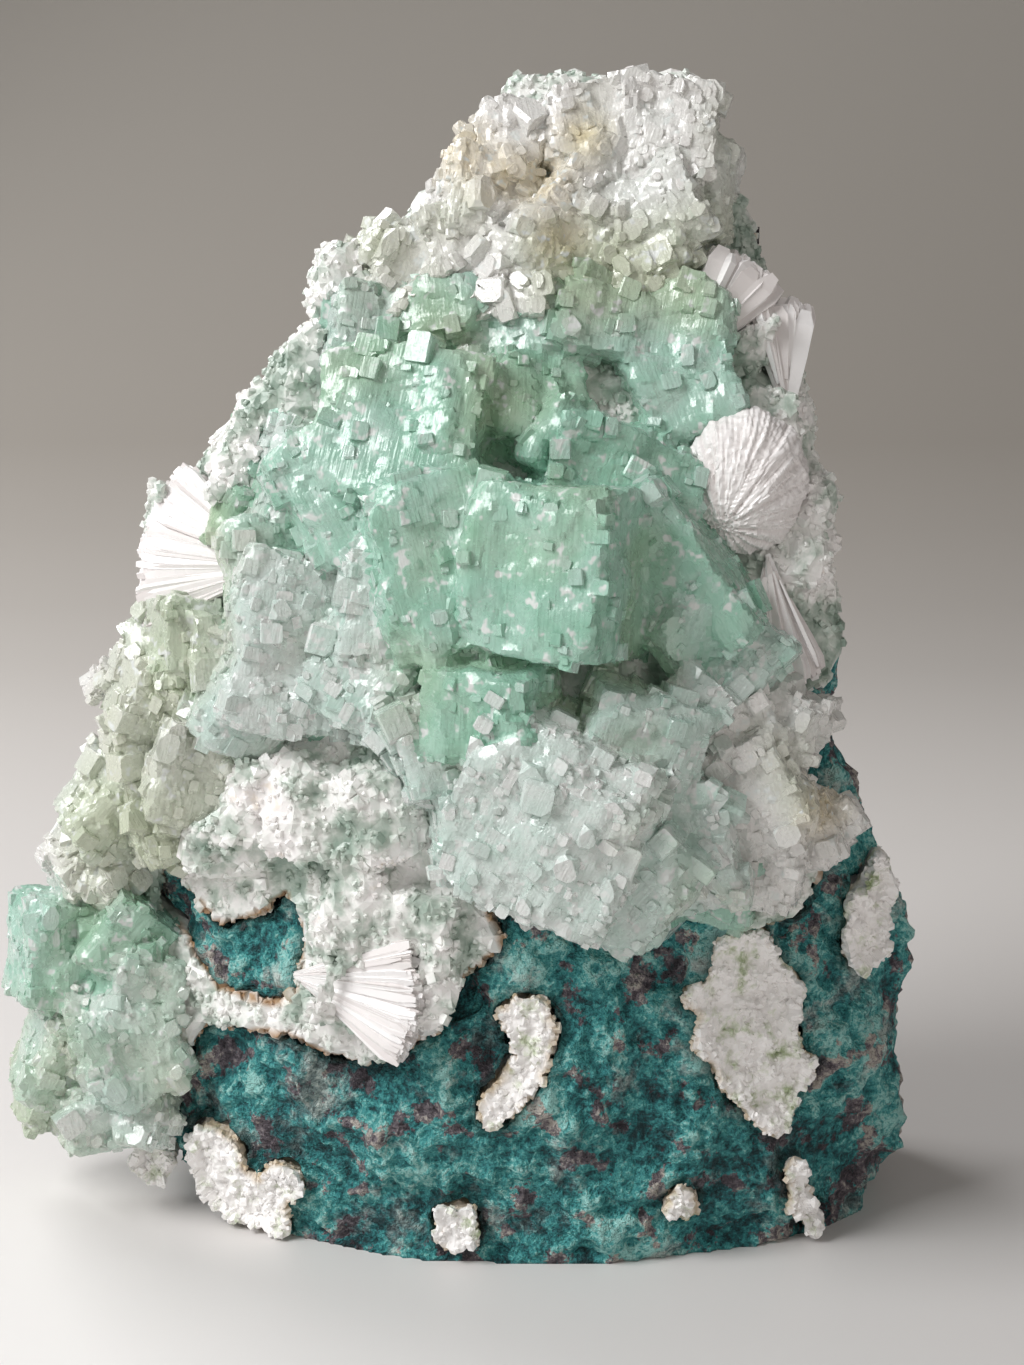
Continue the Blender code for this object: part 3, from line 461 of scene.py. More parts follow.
def object_from(bm, name, material=None):
    """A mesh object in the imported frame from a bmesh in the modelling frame."""
    bmesh.ops.translate(bm, vec=SHIFT, verts=bm.verts)
    bmesh.ops.scale(bm, vec=(MM, MM, MM), verts=bm.verts)
    mesh = mesh_from(bm, name)
    made = bpy.data.objects.new(name, mesh)
    bpy.context.scene.collection.objects.link(made)
    if material:
        mesh.materials.append(material)
    return made


def bmesh_from(mesh):
    """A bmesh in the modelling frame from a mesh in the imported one."""
    bm = bmesh.new()
    bm.from_mesh(mesh)
    bmesh.ops.scale(bm, vec=(1 / MM, 1 / MM, 1 / MM), verts=bm.verts)
    bmesh.ops.translate(bm, vec=-SHIFT, verts=bm.verts)
    return bm


def apply_modifiers(made):
    """Makes an object's modifiers part of its mesh."""
    graph = bpy.context.evaluated_depsgraph_get()
    mesh = bpy.data.meshes.new_from_object(made.evaluated_get(graph))
    made.modifiers.clear()
    made.data = mesh


def joined(shapes, name):
    """Closed shapes that overlap, as one solid."""
    first, *rest = (object_from(bm, name) for bm in shapes)
    helpers = bpy.data.collections.new("joined")
    bpy.context.scene.collection.children.link(helpers)
    for other in rest:
        helpers.objects.link(other)
    modifier = first.modifiers.new("union", "BOOLEAN")
    modifier.operation = "UNION"
    modifier.solver = "MANIFOLD"
    modifier.operand_type = "COLLECTION"
    modifier.collection = helpers
    apply_modifiers(first)
    for other in rest:
        bpy.data.objects.remove(other)
    bpy.data.collections.remove(helpers)
    return first


def node_copy(node):
    """A CAD node's shape with its corners merged, in the modelling frame."""
    bm = bmesh_from(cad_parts[node].data)
    bmesh.ops.remove_doubles(bm, verts=bm.verts, dist=0.001)
    return bm


def remeshed(bm, voxel):
    """The same solid with an even fine mesh."""
    helper = object_from(bm, "helper")
    modifier = helper.modifiers.new("remesh", "REMESH")
    modifier.mode = "VOXEL"
    modifier.voxel_size = voxel * MM
    apply_modifiers(helper)
    made = bmesh_from(helper.data)
    bpy.data.objects.remove(helper)
    made.normal_update()
    return made


def refined(bm, wanted):
    """Splits the faces that are wanted into four."""
    chosen = {f for f in bm.faces if wanted(f.calc_center_median(), f.normal)}
    edges = [e for e in bm.edges if any(f in chosen for f in e.link_faces)]
    bmesh.ops.subdivide_edges(bm, edges=edges, cuts=1, use_grid_fill=True)
    bmesh.ops.triangulate(bm, faces=[f for f in bm.faces if len(f.verts) > 4])
    bm.normal_update()


def search_tree(places):
    """A tree that finds the nearest of some places."""
    tree = kdtree.KDTree(len(places))
    for i, place in enumerate(places):
        tree.insert(place, i)
    tree.balance()
    return tree


def store(made, name, values, domain="POINT"):
    """Keeps a value for each point or face of a mesh, for its material to read."""
    layer = made.data.attributes.new(name, "FLOAT", domain)
    layer.data.foreach_set("value", values)


def dress(made, node):
    """The piece rides on the part and hides the CAD node that it stands for."""
    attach(made, "root")
    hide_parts(node)
    return made


def cut_off(bm, normal, reach):
    """Cuts off what lies beyond a plane and closes the cut."""
    geometry = bm.verts[:] + bm.edges[:] + bm.faces[:]
    plane = {"plane_co": normal * reach, "plane_no": normal}
    cut = bmesh.ops.bisect_plane(bm, geom=geometry, dist=1e-5, clear_outer=True, **plane)
    edges = [e for e in cut["geom_cut"] if isinstance(e, bmesh.types.BMEdge)]
    if edges:
        bmesh.ops.edgeloop_fill(bm, edges=edges)


def habit(draw, size, chop, worn):
    """A block of that size with pyramid faces at its front corners, a few of its edges
    cut as well, and all edges a little worn."""
    sides = ((-1, -1, 0), (1, -1, 0), (0, -1, 1), (0, -1, -1), (1, 0, 1), (-1, 0, 1))
    bm = bmesh.new()
    bmesh.ops.create_cube(bm, size=1)
    for across in (-1, 1):
        for up in (-1, 1):
            normal = Vector((across, -1, up)).normalized()
            depth = chop * draw.uniform(0.7, 1.35)
            cut_off(bm, normal, (1.5 - depth) / math.sqrt(3))
    for _ in range(draw.choice((1, 2, 3))):
        side = draw.choice(sides)
        cut_off(bm, Vector(side).normalized(), (1 - draw.uniform(0.04, 0.16)) / math.sqrt(2))
    bmesh.ops.scale(bm, vec=size, verts=bm.verts)
    if worn:
        bmesh.ops.bevel(
            bm, geom=bm.edges[:], offset=worn, affect="EDGES", segments=1, profile=0.5, material=-1
        )
    return bm


def placing(block):
    """Turns a crystal and puts its centre on the face."""
    tilt, roll, yaw = (math.radians(a) for a in (block.tilt, block.roll, block.yaw))
    turn = Matrix.Rotation(roll, 4, "Y") @ Matrix.Rotation(tilt, 4, "X") @ Matrix.Rotation(yaw, 4, "Z")
    place = Vector((block.x, face_y(block.x, block.z) - block.proud, block.z))
    return Matrix.Translation(place) @ turn


def growths(block, draw):
    """Smaller blocks that grew parallel to a crystal at its corners and stand a little
    out of its faces, which gives it steps and an uneven outline."""
    least_count, area_of_each = 3, 45
    least_share, most_share = 0.22, 0.72
    furthest_in, furthest_out = 0.16, 0.9
    worn, wobble_angle = 0.09, 4
    full = Vector((block.wide, block.deep, block.tall))
    made = []
    for _ in range(round(least_count + full.x * full.z / area_of_each)):
        size = Vector(full[axis] * draw.uniform(least_share, most_share) for axis in range(3))
        corner = Vector((draw.choice((-1, 1)), -1, draw.choice((-1, 1))))
        place = Vector()
        for axis in range(3):
            reach = (full[axis] - size[axis]) / 2
            out = draw.uniform(-furthest_in * full[axis], furthest_out)
            place[axis] = corner[axis] * (reach + out)
        bm = habit(draw, size, draw.uniform(0.1, 0.4), worn)
        angle = math.radians(draw.gauss(0, wobble_angle))
        wobble = Matrix.Rotation(angle, 4, draw.choice("XYZ"))
        matrix = placing(block) @ Matrix.Translation(place) @ wobble
        bmesh.ops.transform(bm, matrix=matrix, verts=bm.verts)
        made.append(bm)
    return made


def satellites(blocks, draw, count):
    """Small crystals of their own that crowd between the large ones, mostly where
    these are milky."""
    made = []
    low, high, left = 4.0, 143.0, -57.0
    nearest, furthest = 0.3, 0.66
    least, most, rarity = 1.6, 6.0, 0.75
    weights = [0.35 + block.white for block in blocks]
    while len(made) < count:
        block = draw.choices(blocks, weights)[0]
        angle = draw.uniform(0, 2 * math.pi)
        far = draw.uniform(nearest, furthest)
        x = block.x + math.cos(angle) * block.wide * far
        z = block.z + math.sin(angle) * block.tall * far
        size = min(least + draw.expovariate(rarity), most)
        if not (low + size / 2 < z < high - size / 2) or x - size < left:
            continue
        if any(math.hypot(x - a, z - b) < reach for a, b, reach in KEPT_CLEAR):
            continue
        spans = ((0.7, 1.2), (0.9, 1.5), (0.7, 1.3))
        wide, deep, tall = (size * draw.uniform(*span) for span in spans)
        # It stands out over the middle of its large neighbour and sinks in at its edge.
        out = 0.42 - 0.5 * far / furthest + draw.uniform(-0.08, 0.10)
        tilt, yaw, roll = (draw.uniform(-turn, turn) for turn in (35, 45, 45))
        chop = draw.uniform(0.08, 0.34)
        white = min(max(block.white + draw.uniform(-0.15, 0.3), 0.0), 1.0)
        proud = block.proud + out * block.deep
        made.append(Block(x, z, wide, deep, tall, proud, block.tilt + tilt, yaw, roll, chop, white))
    return made


def within_crystal(places, block):
    """Places as a crystal's own coordinates."""
    matrix = np.array(placing(block).inverted())
    return places @ matrix[:3, :3].T + matrix[:3, 3]


def crystal_of_each(places, blocks):
    """For each place, the crystal whose surface is nearest and the place within it."""
    nearest = np.full(len(places), np.inf)
    chosen = np.zeros(len(places), dtype=int)
    within = np.zeros_like(places)
    for index, block in enumerate(blocks):
        local = within_crystal(places, block)
        half = np.array((block.wide, block.deep, block.tall)) / 2
        off = np.abs((np.abs(local) - half).max(axis=1))
        nearer = off < nearest
        nearest[nearer] = off[nearer]
        chosen[nearer] = index
        within[nearer] = local[nearer]
    return chosen, within


def etched(bm, blocks):
    """Gives the crystals' faces growth steps, waves and, where they are milky, the
    rounded bumps of an etched surface."""
    places = np.array([vertex.co for vertex in bm.verts])
    chosen, within = crystal_of_each(places, blocks)
    levels, step, wave, bumps, grains = 4, 1.2, 0.15, 0.4, 0.22
    for vertex, index, local in zip(bm.verts, chosen, within):
        own = Vector(local) + Vector((index * 7.1, 0, 0))
        level = math.floor(noise.noise(own * 0.16) * levels) / levels
        rough = 0.3 + 0.55 * blocks[index].white
        push = level * step
        push += noise.noise(own * 0.4) * wave
        push += abs(noise.noise(vertex.co * 0.8)) * bumps * rough
        push += noise.noise(vertex.co * 1.9) * grains * rough
        vertex.co += vertex.normal * push


def apart(places, reaches):
    """Small crystals in groups in which none touches another."""
    groups = []
    for index, (place, reach) in enumerate(zip(places, reaches)):
        for group in groups:
            away = np.linalg.norm(places[group] - place, axis=1)
            if (away > reaches[group] + reach).all():
                group.append(index)
                break
        else:
            groups.append([index])
    return groups


def fused(bm, templates, bits):
    """A solid with small crystals joined to it. Each bit is the number of its template,
    its matrix and its size."""
    places = np.array([matrix.translation for _, matrix, _ in bits])
    reaches = np.array([size.length / 2 for _, _, size in bits])
    shapes = [bm]
    for group in apart(places, reaches):
        part = bmesh.new()
        for index in group:
            template, matrix, _ = bits[index]
            templates[template].transform(matrix)
            part.from_mesh(templates[template])
            templates[template].transform(matrix.inverted())
        shapes.append(part)
    for template in templates:
        bpy.data.meshes.remove(template)
    helper = joined(shapes, "helper")
    made = bmesh_from(helper.data)
    bpy.data.objects.remove(helper)
    return made


def parallel_growth(bm, blocks, count, draw):
    """Adds small sharp crystals that stand a little out of the large ones and lie
    parallel to them, most of them on the milky ones. Also returns their places, their
    reach and how much whiter they are."""
    least, most, rarity, variants, lean = 0.7, 3.2, 1.6, 6, 9
    templates = []
    for _ in range(variants):
        small = habit(draw, Vector((1, 1, 1)), draw.uniform(0.12, 0.4), 0.0)
        templates.append(mesh_from(small, "growth"))
    faces = [f for f in bm.faces if on_front(f.calc_center_median(), 1.0) and f.normal.y < 0.3]
    centres = np.array([f.calc_center_median() for f in faces])
    chosen, _ = crystal_of_each(centres, blocks)
    weights = [0.25 + blocks[index].white ** 1.5 for index in chosen]
    bits = []
    for at in draw.choices(range(len(faces)), weights, k=count):
        size = min(least + draw.expovariate(rarity), most)
        turn = placing(blocks[chosen[at]]).to_3x3().to_4x4()
        for axis in "XYZ":
            turn = turn @ Matrix.Rotation(math.radians(draw.gauss(0, lean)), 4, axis)
        shape = Vector(size * draw.uniform(0.6, 1.3) for _ in range(3))
        sunk = Vector(centres[at]) - faces[at].normal * size * draw.uniform(0.12, 0.42)
        matrix = Matrix.Translation(sunk) @ turn @ Matrix.Diagonal((*shape, 1))
        bits.append((draw.randrange(variants), matrix, shape))
    whiter = [draw.uniform(-0.1, 0.35) for _ in bits]
    return fused(bm, templates, bits), bits, whiter


def read_all(items, name, width=1, kind=float):
    """One value, or one row of values, for each vertex, corner or face of a mesh."""
    values = np.empty(len(items) * width, dtype=kind)
    items.foreach_get(name, values)
    return values.reshape(-1, width) if width > 1 else values


def mark_crystals(made, blocks, bits, whiter, stains):
    """Each face takes the whiteness of the crystal that it belongs to, and its corners
    their place in that crystal, for grooves that run along it."""
    mesh = made.data
    points = read_all(mesh.vertices, "co", 3) / MM - np.array(SHIFT)
    centres = read_all(mesh.polygons, "center", 3) / MM - np.array(SHIFT)
    chosen, _ = crystal_of_each(centres, blocks)
    corner_points = read_all(mesh.loops, "vertex_index", kind=int)
    corner_block = np.repeat(chosen, read_all(mesh.polygons, "loop_total", kind=int))
    along = np.zeros((len(mesh.loops), 3))
    for index, block in enumerate(blocks):
        own = corner_block == index
        local = within_crystal(points[corner_points[own]], block)
        along[own] = local + np.array((index * 11.3, index * 5.7, 0))
    layer = mesh.attributes.new("along", "FLOAT_VECTOR", "CORNER")
    layer.data.foreach_set("vector", along.ravel())
    stained = np.zeros(len(centres))
    for x, z, reach in stains:
        away = np.hypot(centres[:, 0] - x, centres[:, 2] - z)
        stained = np.maximum(stained, 1 - away / reach)
    whites = np.array([block.white for block in blocks])[chosen]
    tree = search_tree([matrix.translation for _, matrix, _ in bits])
    for face, centre in enumerate(centres):
        _, index, away = tree.find(centre)
        if away < bits[index][2].length * 0.4:
            whites[face] += whiter[index]
    store(made, "white", np.clip(whites, 0, 1), "FACE")
    store(made, "stain", stained, "FACE")


def behind(blocks, draw):
    """Green crystals deep between the large ones, so that no crust shows there."""
    deep, chop, white = 9, 0.2, 0.05
    made = []
    for block in blocks:
        x = block.x + draw.uniform(-0.4, 0.4) * block.wide
        z = block.z + draw.uniform(-0.4, 0.4) * block.tall
        size = draw.uniform(8, 11)
        angles = (draw.uniform(-25, 10), draw.uniform(-30, 30), draw.uniform(-40, 40))
        proud = draw.uniform(-2.0, -0.8)
        made.append(Block(x, z, size, deep, size, proud, *angles, chop, white))
    return made


def crystal_cluster(name, blocks, look, crowd, grown, stains=()):
    """A node's crystals with their growth steps and small neighbours."""
    draw = random.Random(f"{SEED} {name}")
    worn, small_worn, sharp_from = 0.22, 0.1, 28
    shapes = []
    small = satellites(blocks, draw, crowd)
    for group, wear in ((blocks, worn), (small, small_worn)):
        for block in group:
            bm = habit(draw, Vector((block.wide, block.deep, block.tall)), block.chop, wear)
            bmesh.ops.transform(bm, matrix=placing(block), verts=bm.verts)
            shapes.append(bm)
            if group is blocks:
                shapes += growths(block, draw)
    helper = joined(shapes, "helper")
    crystals = list(blocks) + small
    fineness = COARSE_VOXEL if len(crystals) > MANY_CRYSTALS else FINE_VOXEL
    bm = remeshed(bmesh_from(helper.data), fineness)
    bpy.data.objects.remove(helper)
    etched(bm, crystals)
    bm.normal_update()
    bm, bits, whiter = parallel_growth(bm, crystals, grown, draw)
    material, slot = look
    made = object_from(bm, name + "_crystals", material)
    made.data.shade_smooth()
    made.data.set_sharp_from_angle(angle=math.radians(sharp_from))
    mark_crystals(made, crystals, bits, whiter, stains)
    return dress(made, name)


def blade(long, wide, thick):
    """One blade along X from the origin: narrow at its foot, widest near its end and
    rounded there."""
    bm = bmesh.new()
    bmesh.ops.create_cube(bm, size=1)
    along = [e for e in bm.edges if abs(e.verts[0].co.x - e.verts[1].co.x) > 0.5]
    bmesh.ops.subdivide_edges(bm, edges=along, cuts=2, use_grid_fill=True)
    # Where each ring of corners goes along the blade, and how wide the blade is there.
    rings = ((0.0, 0.35), (0.55, 0.85), (0.86, 1.0), (1.0, 0.5))
    for vertex in bm.verts:
        place, width = rings[round((vertex.co.x + 0.5) * 3)]
        vertex.co = Vector((place * long, vertex.co.y * thick * width, vertex.co.z * wide * width))
    return bm


def spray_piece(name, spray, material):
    """A stilbite spray: thin blades that fan out from one foot like a sheaf."""
    draw = random.Random(f"{SEED} {name}")
    whole = bmesh.new()
    fibres = []
    foot = Vector((spray.x, face_y(spray.x, spray.z) - spray.proud, spray.z))
    for i in range(spray.blades):
        share = (i + draw.uniform(-3, 3)) / spray.blades
        angle = math.radians(spray.first + (spray.last - spray.first) * share)
        long = spray.long * draw.uniform(0.9, 1.0)
        start = draw.uniform(0.0, 0.55) * long
        bm = blade(long - start, draw.uniform(0.5, 1.0) * spray.wide, spray.wide * 0.3)
        depth = draw.uniform(-0.5, 0.5) * spray.thick
        ahead = Vector((math.cos(angle), 0, math.sin(angle)))
        tip = foot + ahead * long
        fall = face_y(tip.x, tip.z) - spray.rise - spray.proud + depth - foot.y
        turn = (
            Matrix.Rotation(-angle, 4, "Y")
            @ Matrix.Rotation(math.atan2(fall, long), 4, "Z")
            @ Matrix.Rotation(draw.gauss(0, spray.twist), 4, "X")
        )
        set_back = Vector((0, depth * 0.3, 0))
        matrix = Matrix.Translation(foot + set_back) @ turn @ Matrix.Translation((start, 0, 0))
        bmesh.ops.transform(bm, matrix=matrix, verts=bm.verts)
        mesh = mesh_from(bm, "blade")
        fibres += [draw.random()] * len(mesh.polygons)
        whole.from_mesh(mesh)
        bpy.data.meshes.remove(mesh)
    made = object_from(whole, name + "_blades", material)
    store(made, "fibre", fibres, "FACE")
    return dress(made, name)


def rosette_piece(material):
    """The stilbite rosette: a ball of blades seen edge on, which meet in its lower
    left."""
    bm = remeshed(node_copy("stilbite_rosette"), 0.3)
    x, z = ROSETTE_CENTRE
    hub_left, hub_down = 3.0, 5.0
    hub = Vector((x - hub_left, face_y(x, z) - ROSETTE_PROUD, z - hub_down))
    values = []
    for vertex in bm.verts:
        away = vertex.co - hub
        around = math.atan2(away.z, away.x)
        coarse = noise.noise(Vector((around * 7.0, away.length * 0.16, 3.0)))
        fine = noise.noise(Vector((around * 30.0, away.length * 0.3, 9.0)))
        crumb = noise.noise(vertex.co * 1.3)
        vertex.co -= vertex.normal * (0.25 - 0.5 * coarse - 0.25 * fine - 0.2 * crumb)
        values.append(0.45 + 0.4 * coarse + 0.5 * fine)
    made = object_from(bm, "stilbite_rosette_ball", material)
    store(made, "fibre", values)
    return dress(made, "stilbite_rosette")


def rock_relief(place):
    """How far the broken rock stands out or in at a place."""
    knobs = noise.noise(place / 9.0) * 2.6
    lumps = noise.noise(place / 3.2 + Vector((7, 3, 1))) * 1.3
    ridge = (0.25 - abs(noise.noise(place / 2.0 + Vector((1, 8, 2))))) * 1.3
    grain = noise.noise(place / 1.1 + Vector((4, 4, 4))) * 0.55
    pit = max(0.0, noise.noise(place / 3.6 + Vector((2, 9, 4))) - 0.3) * 4.0
    return knobs + lumps + ridge + grain - pit


def basalt_piece(bm, crust_tree, material):
    """The basalt: its own lump with knobs, hollows and grains of real relief."""
    painted_shade_reach, margin, sunk, most = 2.2, 1.4, 1.0, 2.2
    foot_height = 1.0
    values, rims = [], []
    for vertex in bm.verts:
        place = vertex.co.copy()
        relief = rock_relief(place)
        near = crust_tree.find(place)[2]
        wobble = 0.6 * noise.noise(place / 2.0)
        # Painted shade: the rim share darkens the rock in a band beside the crust and the fillings.
        rims.append(max(0.0, min(1.0, 1.15 - (near + wobble) / painted_shade_reach)))
        hold = min(1.0, near / margin)
        # Painted highlight and shade: the stored relief lightens knobs and darkens hollows in the
        # material.
        values.append(min(1.0, max(0.0, 0.5 + relief * 0.28)))
        if place.z < foot_height:
            hold *= place.z / foot_height
        push = most * math.tanh((relief - sunk) * hold / most)
        vertex.co = place + vertex.normal * push
        vertex.co.z = max(vertex.co.z, 0.0)
    made = object_from(bm, "basalt_rock", material)
    store(made, "relief", values)
    store(made, "rim", rims)
    made.data.shade_smooth()
    return dress(made, "basalt")


def on_front(place, depth):
    """Whether a place lies near the front face."""
    return place.y < face_y(place.x, place.z) + depth


def small_crystals(draw, variants):
    """Meshes of a few small prisms with pyramid tips, to be scattered."""
    made = []
    for _ in range(variants):
        bm = bmesh.new()
        bmesh.ops.create_cube(bm, size=1)
        top = [f for f in bm.faces if f.normal.z > 0.9]
        bmesh.ops.poke(bm, faces=top, offset=draw.uniform(0.1, 0.4))
        made.append(mesh_from(bm, "small_crystal"))
    return made


def druse_bits(faces, count, least, most, draw, variants):
    """Places for small crystals all over some faces of a solid."""
    bits = []
    for face in draw.choices(faces, weights=[f.calc_area() for f in faces], k=count):
        a, b = sorted((draw.random(), draw.random()))
        first, second, third = (v.co for v in face.verts[:3])
        place = first * a + second * (b - a) + third * (1 - b)
        size = min(least + draw.expovariate(3.6), most)
        lean = Vector(draw.gauss(0, 0.4) for _ in range(3))
        turn = (face.normal + lean).to_track_quat("Z", "X").to_matrix().to_4x4()
        turn = turn @ Matrix.Rotation(draw.uniform(0, math.pi), 4, "Z")
        shape = Vector((draw.uniform(0.7, 1.1), draw.uniform(0.6, 1.0), 0.8)) * size
        matrix = Matrix.Translation(place) @ turn @ Matrix.Diagonal((*shape, 1))
        bits.append((draw.randrange(variants), matrix, shape))
    return bits


def near_share(place, tree, reach, wobble, period):
    """1 at the nearest of a tree's places and 0 from reach on, with a wavy edge."""
    near = tree.find(place)[2] + wobble * noise.noise(place / period)
    return min(1.0, max(0.0, 1 - near / reach))


def covered(place):
    """Whether a place on the face is hidden by one of the large crystals."""
    for block in ALL_BLOCKS:
        across, up = abs(place.x - block.x), abs(place.z - block.z)
        if across < 0.38 * block.wide and up < 0.38 * block.tall:
            return True
    return False


def crust_piece(bm, rock_tree, material):
    """The crust: its own layer, lumpy and uneven at its edge, with a sugary coat of
    small crystals."""
    draw = random.Random(f"{SEED} crust")
    coat, edge_coat, front_depth, variants = 4200, 500, 2.5, 5
    for vertex in bm.verts:
        push = noise.noise(vertex.co / 4.5) * 1.3 + noise.noise(vertex.co / 1.8) * 0.7
        push += 0.4 if abs(vertex.normal.y) < 0.6 else -0.2
        vertex.co += vertex.normal * push
    bm.normal_update()
    faces = [f for f in bm.faces if on_front(f.calc_center_median(), front_depth)]
    edges = [f for f in bm.faces if not on_front(f.calc_center_median(), front_depth)]
    faces = [f for f in faces if f.normal.y < 0.5 and not covered(f.calc_center_median())]
    bits = druse_bits(faces, coat, 0.5, 1.5, draw, variants)
    bits += druse_bits(edges, edge_coat, 0.6, 1.6, draw, variants)
    bm = fused(bm, small_crystals(draw, variants), bits)
    rims = [near_share(v.co, rock_tree, 1.8, 0.5, 1.5) for v in bm.verts]
    made = object_from(bm, "crust_druse", material)
    store(made, "rim", rims)
    return dress(made, "white_crust")


def filling_piece(name, rock_tree, material):
    """A bubble's filling: sugary at its edge and hollow towards its heart."""
    draw = random.Random(f"{SEED} {name}")
    hollow, hollow_from, voxel = 1.3, 3.0, 0.45
    crystals_per_area, variants = 0.8, 5
    bm = remeshed(node_copy(name), voxel)
    for vertex in bm.verts:
        near = rock_tree.find(vertex.co)[2]
        push = noise.noise(vertex.co / 2.2) * 0.9 + noise.noise(vertex.co / 0.8) * 0.5
        if abs(vertex.normal.y) < 0.6:
            push += 0.35
        else:
            push -= hollow * min(near / hollow_from, 1.0) - 0.2
        vertex.co += vertex.normal * push
        vertex.co.z = max(vertex.co.z, 0.0)
    bm.normal_update()
    faces = [f for f in bm.faces if on_front(f.calc_center_median(), 1.5) and f.normal.y < 0.2]
    count = int(sum(f.calc_area() for f in faces) * crystals_per_area)
    bits = druse_bits(faces, count, 0.45, 1.1, draw, variants)
    bm = fused(bm, small_crystals(draw, variants), bits)
    for vertex in bm.verts:
        vertex.co.z = max(vertex.co.z, 0.0)
    rims = [near_share(v.co, rock_tree, 1.1, 0.4, 1.0) for v in bm.verts]
    made = object_from(bm, name + "_grains", material)
    store(made, "rim", rims)
    return dress(made, name)


def rock_and_crust():
    """The basalt, the crust and the fillings, which need each other's edges."""
    rock_voxel, crust_voxel = 0.85, 1.2
    rock = remeshed(node_copy("basalt"), rock_voxel)
    refined(rock, lambda place, normal: on_front(place, 3.0) and normal.y < 0.3)
    crust = remeshed(node_copy("white_crust"), crust_voxel)
    fronts = [v.co.copy() for v in crust.verts if on_front(v.co, 2.0)]
    for name in FILLINGS:
        source = node_copy(name)
        bmesh.ops.subdivide_edges(source, edges=source.edges[:], cuts=3)
        fronts += [v.co.copy() for v in source.verts if on_front(v.co, 2.0)]
        source.free()
    rock_front = [v.co.copy() for v in rock.verts if on_front(v.co, 4.0)]
    crust_tree, rock_tree = search_tree(fronts), search_tree(rock_front)
    basalt_piece(rock, crust_tree, basalt_material())
    crust_piece(crust, rock_tree, crust_material())
    filling = filling_material()
    for name in FILLINGS:
        filling_piece(name, rock_tree, filling)


def make_floor():
    """A pale floor that curves up into a plain warm grey wall; painted shade darkens the
    floor towards the back and most in the bend below the wall.
    """
    depth, front, height, bend, half, steps = 0.35, 1.2, 2.0, 0.5, 2.5, 12
    bm = bmesh.new()
    spots = [(-front, 0.0), (depth, 0.0)]
    for i in range(1, steps + 1):
        angle = math.radians(90 * i / steps)
        spots.append((depth + bend * math.sin(angle), bend * (1 - math.cos(angle))))
    spots.append((depth + bend, height))
    run = [bm.verts.new((-half, y, z)) for y, z in spots]
    edges = [bm.edges.new(pair) for pair in zip(run, run[1:])]
    drawn = bmesh.ops.extrude_edge_only(bm, edges=edges)
    moved = [v for v in drawn["geom"] if isinstance(v, bmesh.types.BMVert)]
    bmesh.ops.translate(bm, vec=(2 * half, 0, 0), verts=moved)
    bmesh.ops.recalc_face_normals(bm, faces=bm.faces)
    mesh = mesh_from(bm, "floor")
    mesh.shade_smooth()
    floor = bpy.data.objects.new("floor", mesh)
    bpy.context.scene.collection.objects.link(floor)
    material, tree, output, place = new_material("painted_board")
    # Painted shade: the floor darkens towards the back, most in the bend before the wall.
    depth_at = add(tree, "SeparateXYZ", {"Vector": place}).outputs["Y"]
    share = add(tree, "MapRange", {"Value": depth_at, "From Min": -0.1, "From Max": 0.75}).outputs[0]
    tones = ((0.0, "#E6E3E2"), (0.35, "#CFCBC8"), (0.75, "#A39D96"), (1.0, "#ADA8A1"))
    shade = add(tree, "ValToRGB", {"Fac": share}, tones).outputs["Color"]
    shader = add(tree, "BsdfPrincipled", {"Base Color": shade, "Roughness": 0.5})
    tree.links.new(shader.outputs["BSDF"], output.inputs["Surface"])
    mesh.materials.append(material)


LAMPS = (
    # name, place, size, power and colour
    ("window", (-0.50, -0.30, 0.55), 0.40, 5.6, "#FFFFFF"),
    ("fill", (0.45, -0.80, 0.30), 0.80, 1.5, "#FFF6EE"),
    ("back", (-0.35, 0.35, 0.45), 0.35, 2.2, "#FFFFFF"),
)


def make_lights():
    """Soft window light from the upper left, a weak fill and a light from behind."""
    centre = Vector((0, 0, 0.075))
    for name, place, size, power, tint in LAMPS:
        lamp = bpy.data.lights.new(name, "AREA")
        lamp.size = size
        lamp.energy = power
        lamp.color = linear(tint)[:3]
        holder = bpy.data.objects.new(name, lamp)
        holder.location = place
        holder.rotation_euler = (centre - Vector(place)).to_track_quat("-Z", "Y").to_euler()
        bpy.context.scene.collection.objects.link(holder)
    world = bpy.data.worlds.new("studio")
    world.use_nodes = True
    background = world.node_tree.nodes["Background"]
    background.inputs["Color"].default_value = linear("#E8E6E4")
    background.inputs["Strength"].default_value = 0.22
    bpy.context.scene.world = world
    bpy.context.scene.view_settings.view_transform = "Standard"


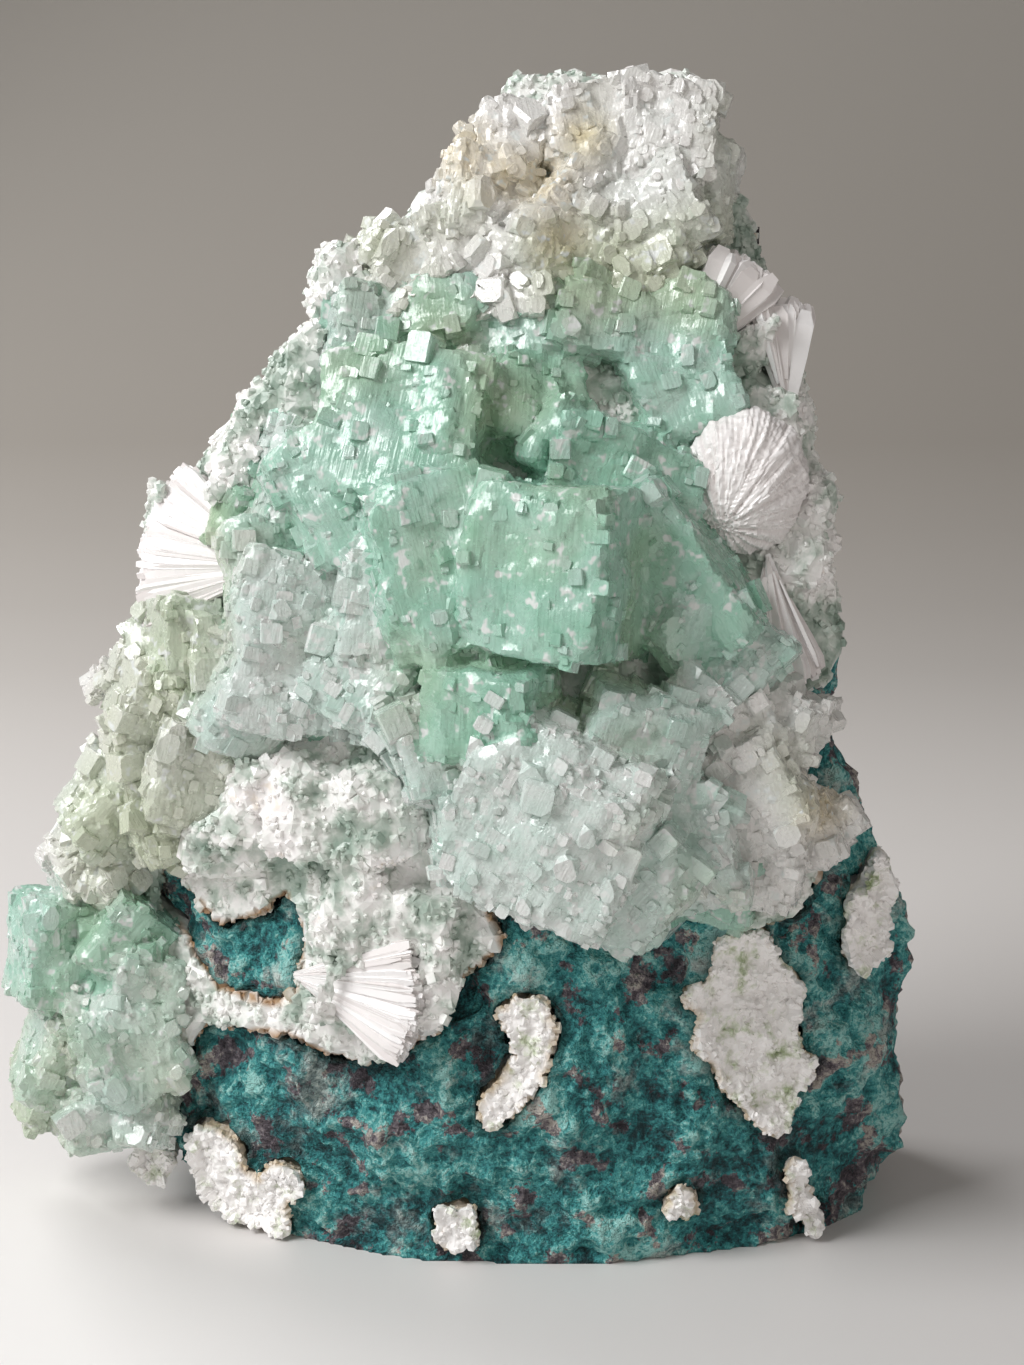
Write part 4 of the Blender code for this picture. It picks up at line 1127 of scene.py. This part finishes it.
def make_camera():
    """The photograph's view: level with the specimen's top and looking down at it."""
    lens = bpy.data.cameras.new("camera")
    lens.lens = CAMERA_LENS
    lens.sensor_width = 36.0
    lens.clip_start = 0.01
    camera = bpy.data.objects.new("camera", lens)
    pitch = math.radians(CAMERA_PITCH)
    back = Vector((0, -math.cos(pitch), math.sin(pitch))) * CAMERA_DISTANCE
    camera.location = to_frame(CAMERA_TARGET + back)
    camera.rotation_euler = (math.radians(90) - pitch, 0, 0)
    bpy.context.scene.collection.objects.link(camera)
    bpy.context.scene.camera = camera


def peak_tips(draw):
    """White plates whose tips point down to the left under the peak."""
    made = []
    first, last, count, height, slope = -4.0, 24.0, 13, 120.5, 0.16
    deep, proud, chop, white = 6, 2.2, 0.3, 1.0
    for i in range(count):
        x = first + (last - first) * i / count
        z = height + slope * (x - first) + draw.uniform(-1.5, 1.5)
        long, thick = draw.uniform(7, 11), draw.uniform(1.6, 2.8)
        angles = (-20 + draw.uniform(-8, 8), draw.uniform(-25, 25), draw.uniform(28, 52))
        made.append(Block(x, z, thick, deep, long, proud, *angles, chop, white))
    return made


def make_crystals():
    """The apophyllite, green in the middle and at the foot, and nearly white round
    it, with a yellow stain on the peak."""
    green = apophyllite_material("green_apophyllite", GREEN_TONES, 0.30, "#69E0BC", 12.0)
    pale = apophyllite_material("pale_apophyllite", PALE_TONES, 0.25, "#8FE6C8", 5.0)
    green_look = (green, "green_apophyllite")
    pale_look = (pale, "pale_apophyllite")
    draw = random.Random(f"{SEED} crystals")
    middle = GREEN_BLOCKS + tuple(behind(GREEN_BLOCKS, draw))
    peak = PEAK_BLOCKS + tuple(peak_tips(draw))
    peak_stains = ((0.5, 137, 6), (5, 135, 5), (10, 134, 6), (15, 139, 5), (12, 127, 5))
    right_stains = ((44.0, 60.0, 5.0),)
    groups = (
        ("green_apophyllite", middle, green_look, 150, 1500, ()),
        ("left_foot_apophyllite", FOOT_BLOCKS, green_look, 40, 350, ()),
        ("left_edge_apophyllite", LEFT_EDGE_BLOCKS, pale_look, 60, 500, ()),
        ("peak_apophyllite", peak, pale_look, 60, 500, peak_stains),
        ("right_edge_apophyllite", RIGHT_EDGE_BLOCKS, pale_look, 45, 300, right_stains),
    )
    for name, blocks, look, crowd, grown, stains in groups:
        crystal_cluster(name, blocks, look, crowd, grown, stains)


make_camera()
make_lights()
make_floor()
make_crystals()
stilbite = stilbite_material()
for name, spray in SPRAYS.items():
    spray_piece(name, spray, stilbite)
rosette_piece(stilbite)
rock_and_crust()
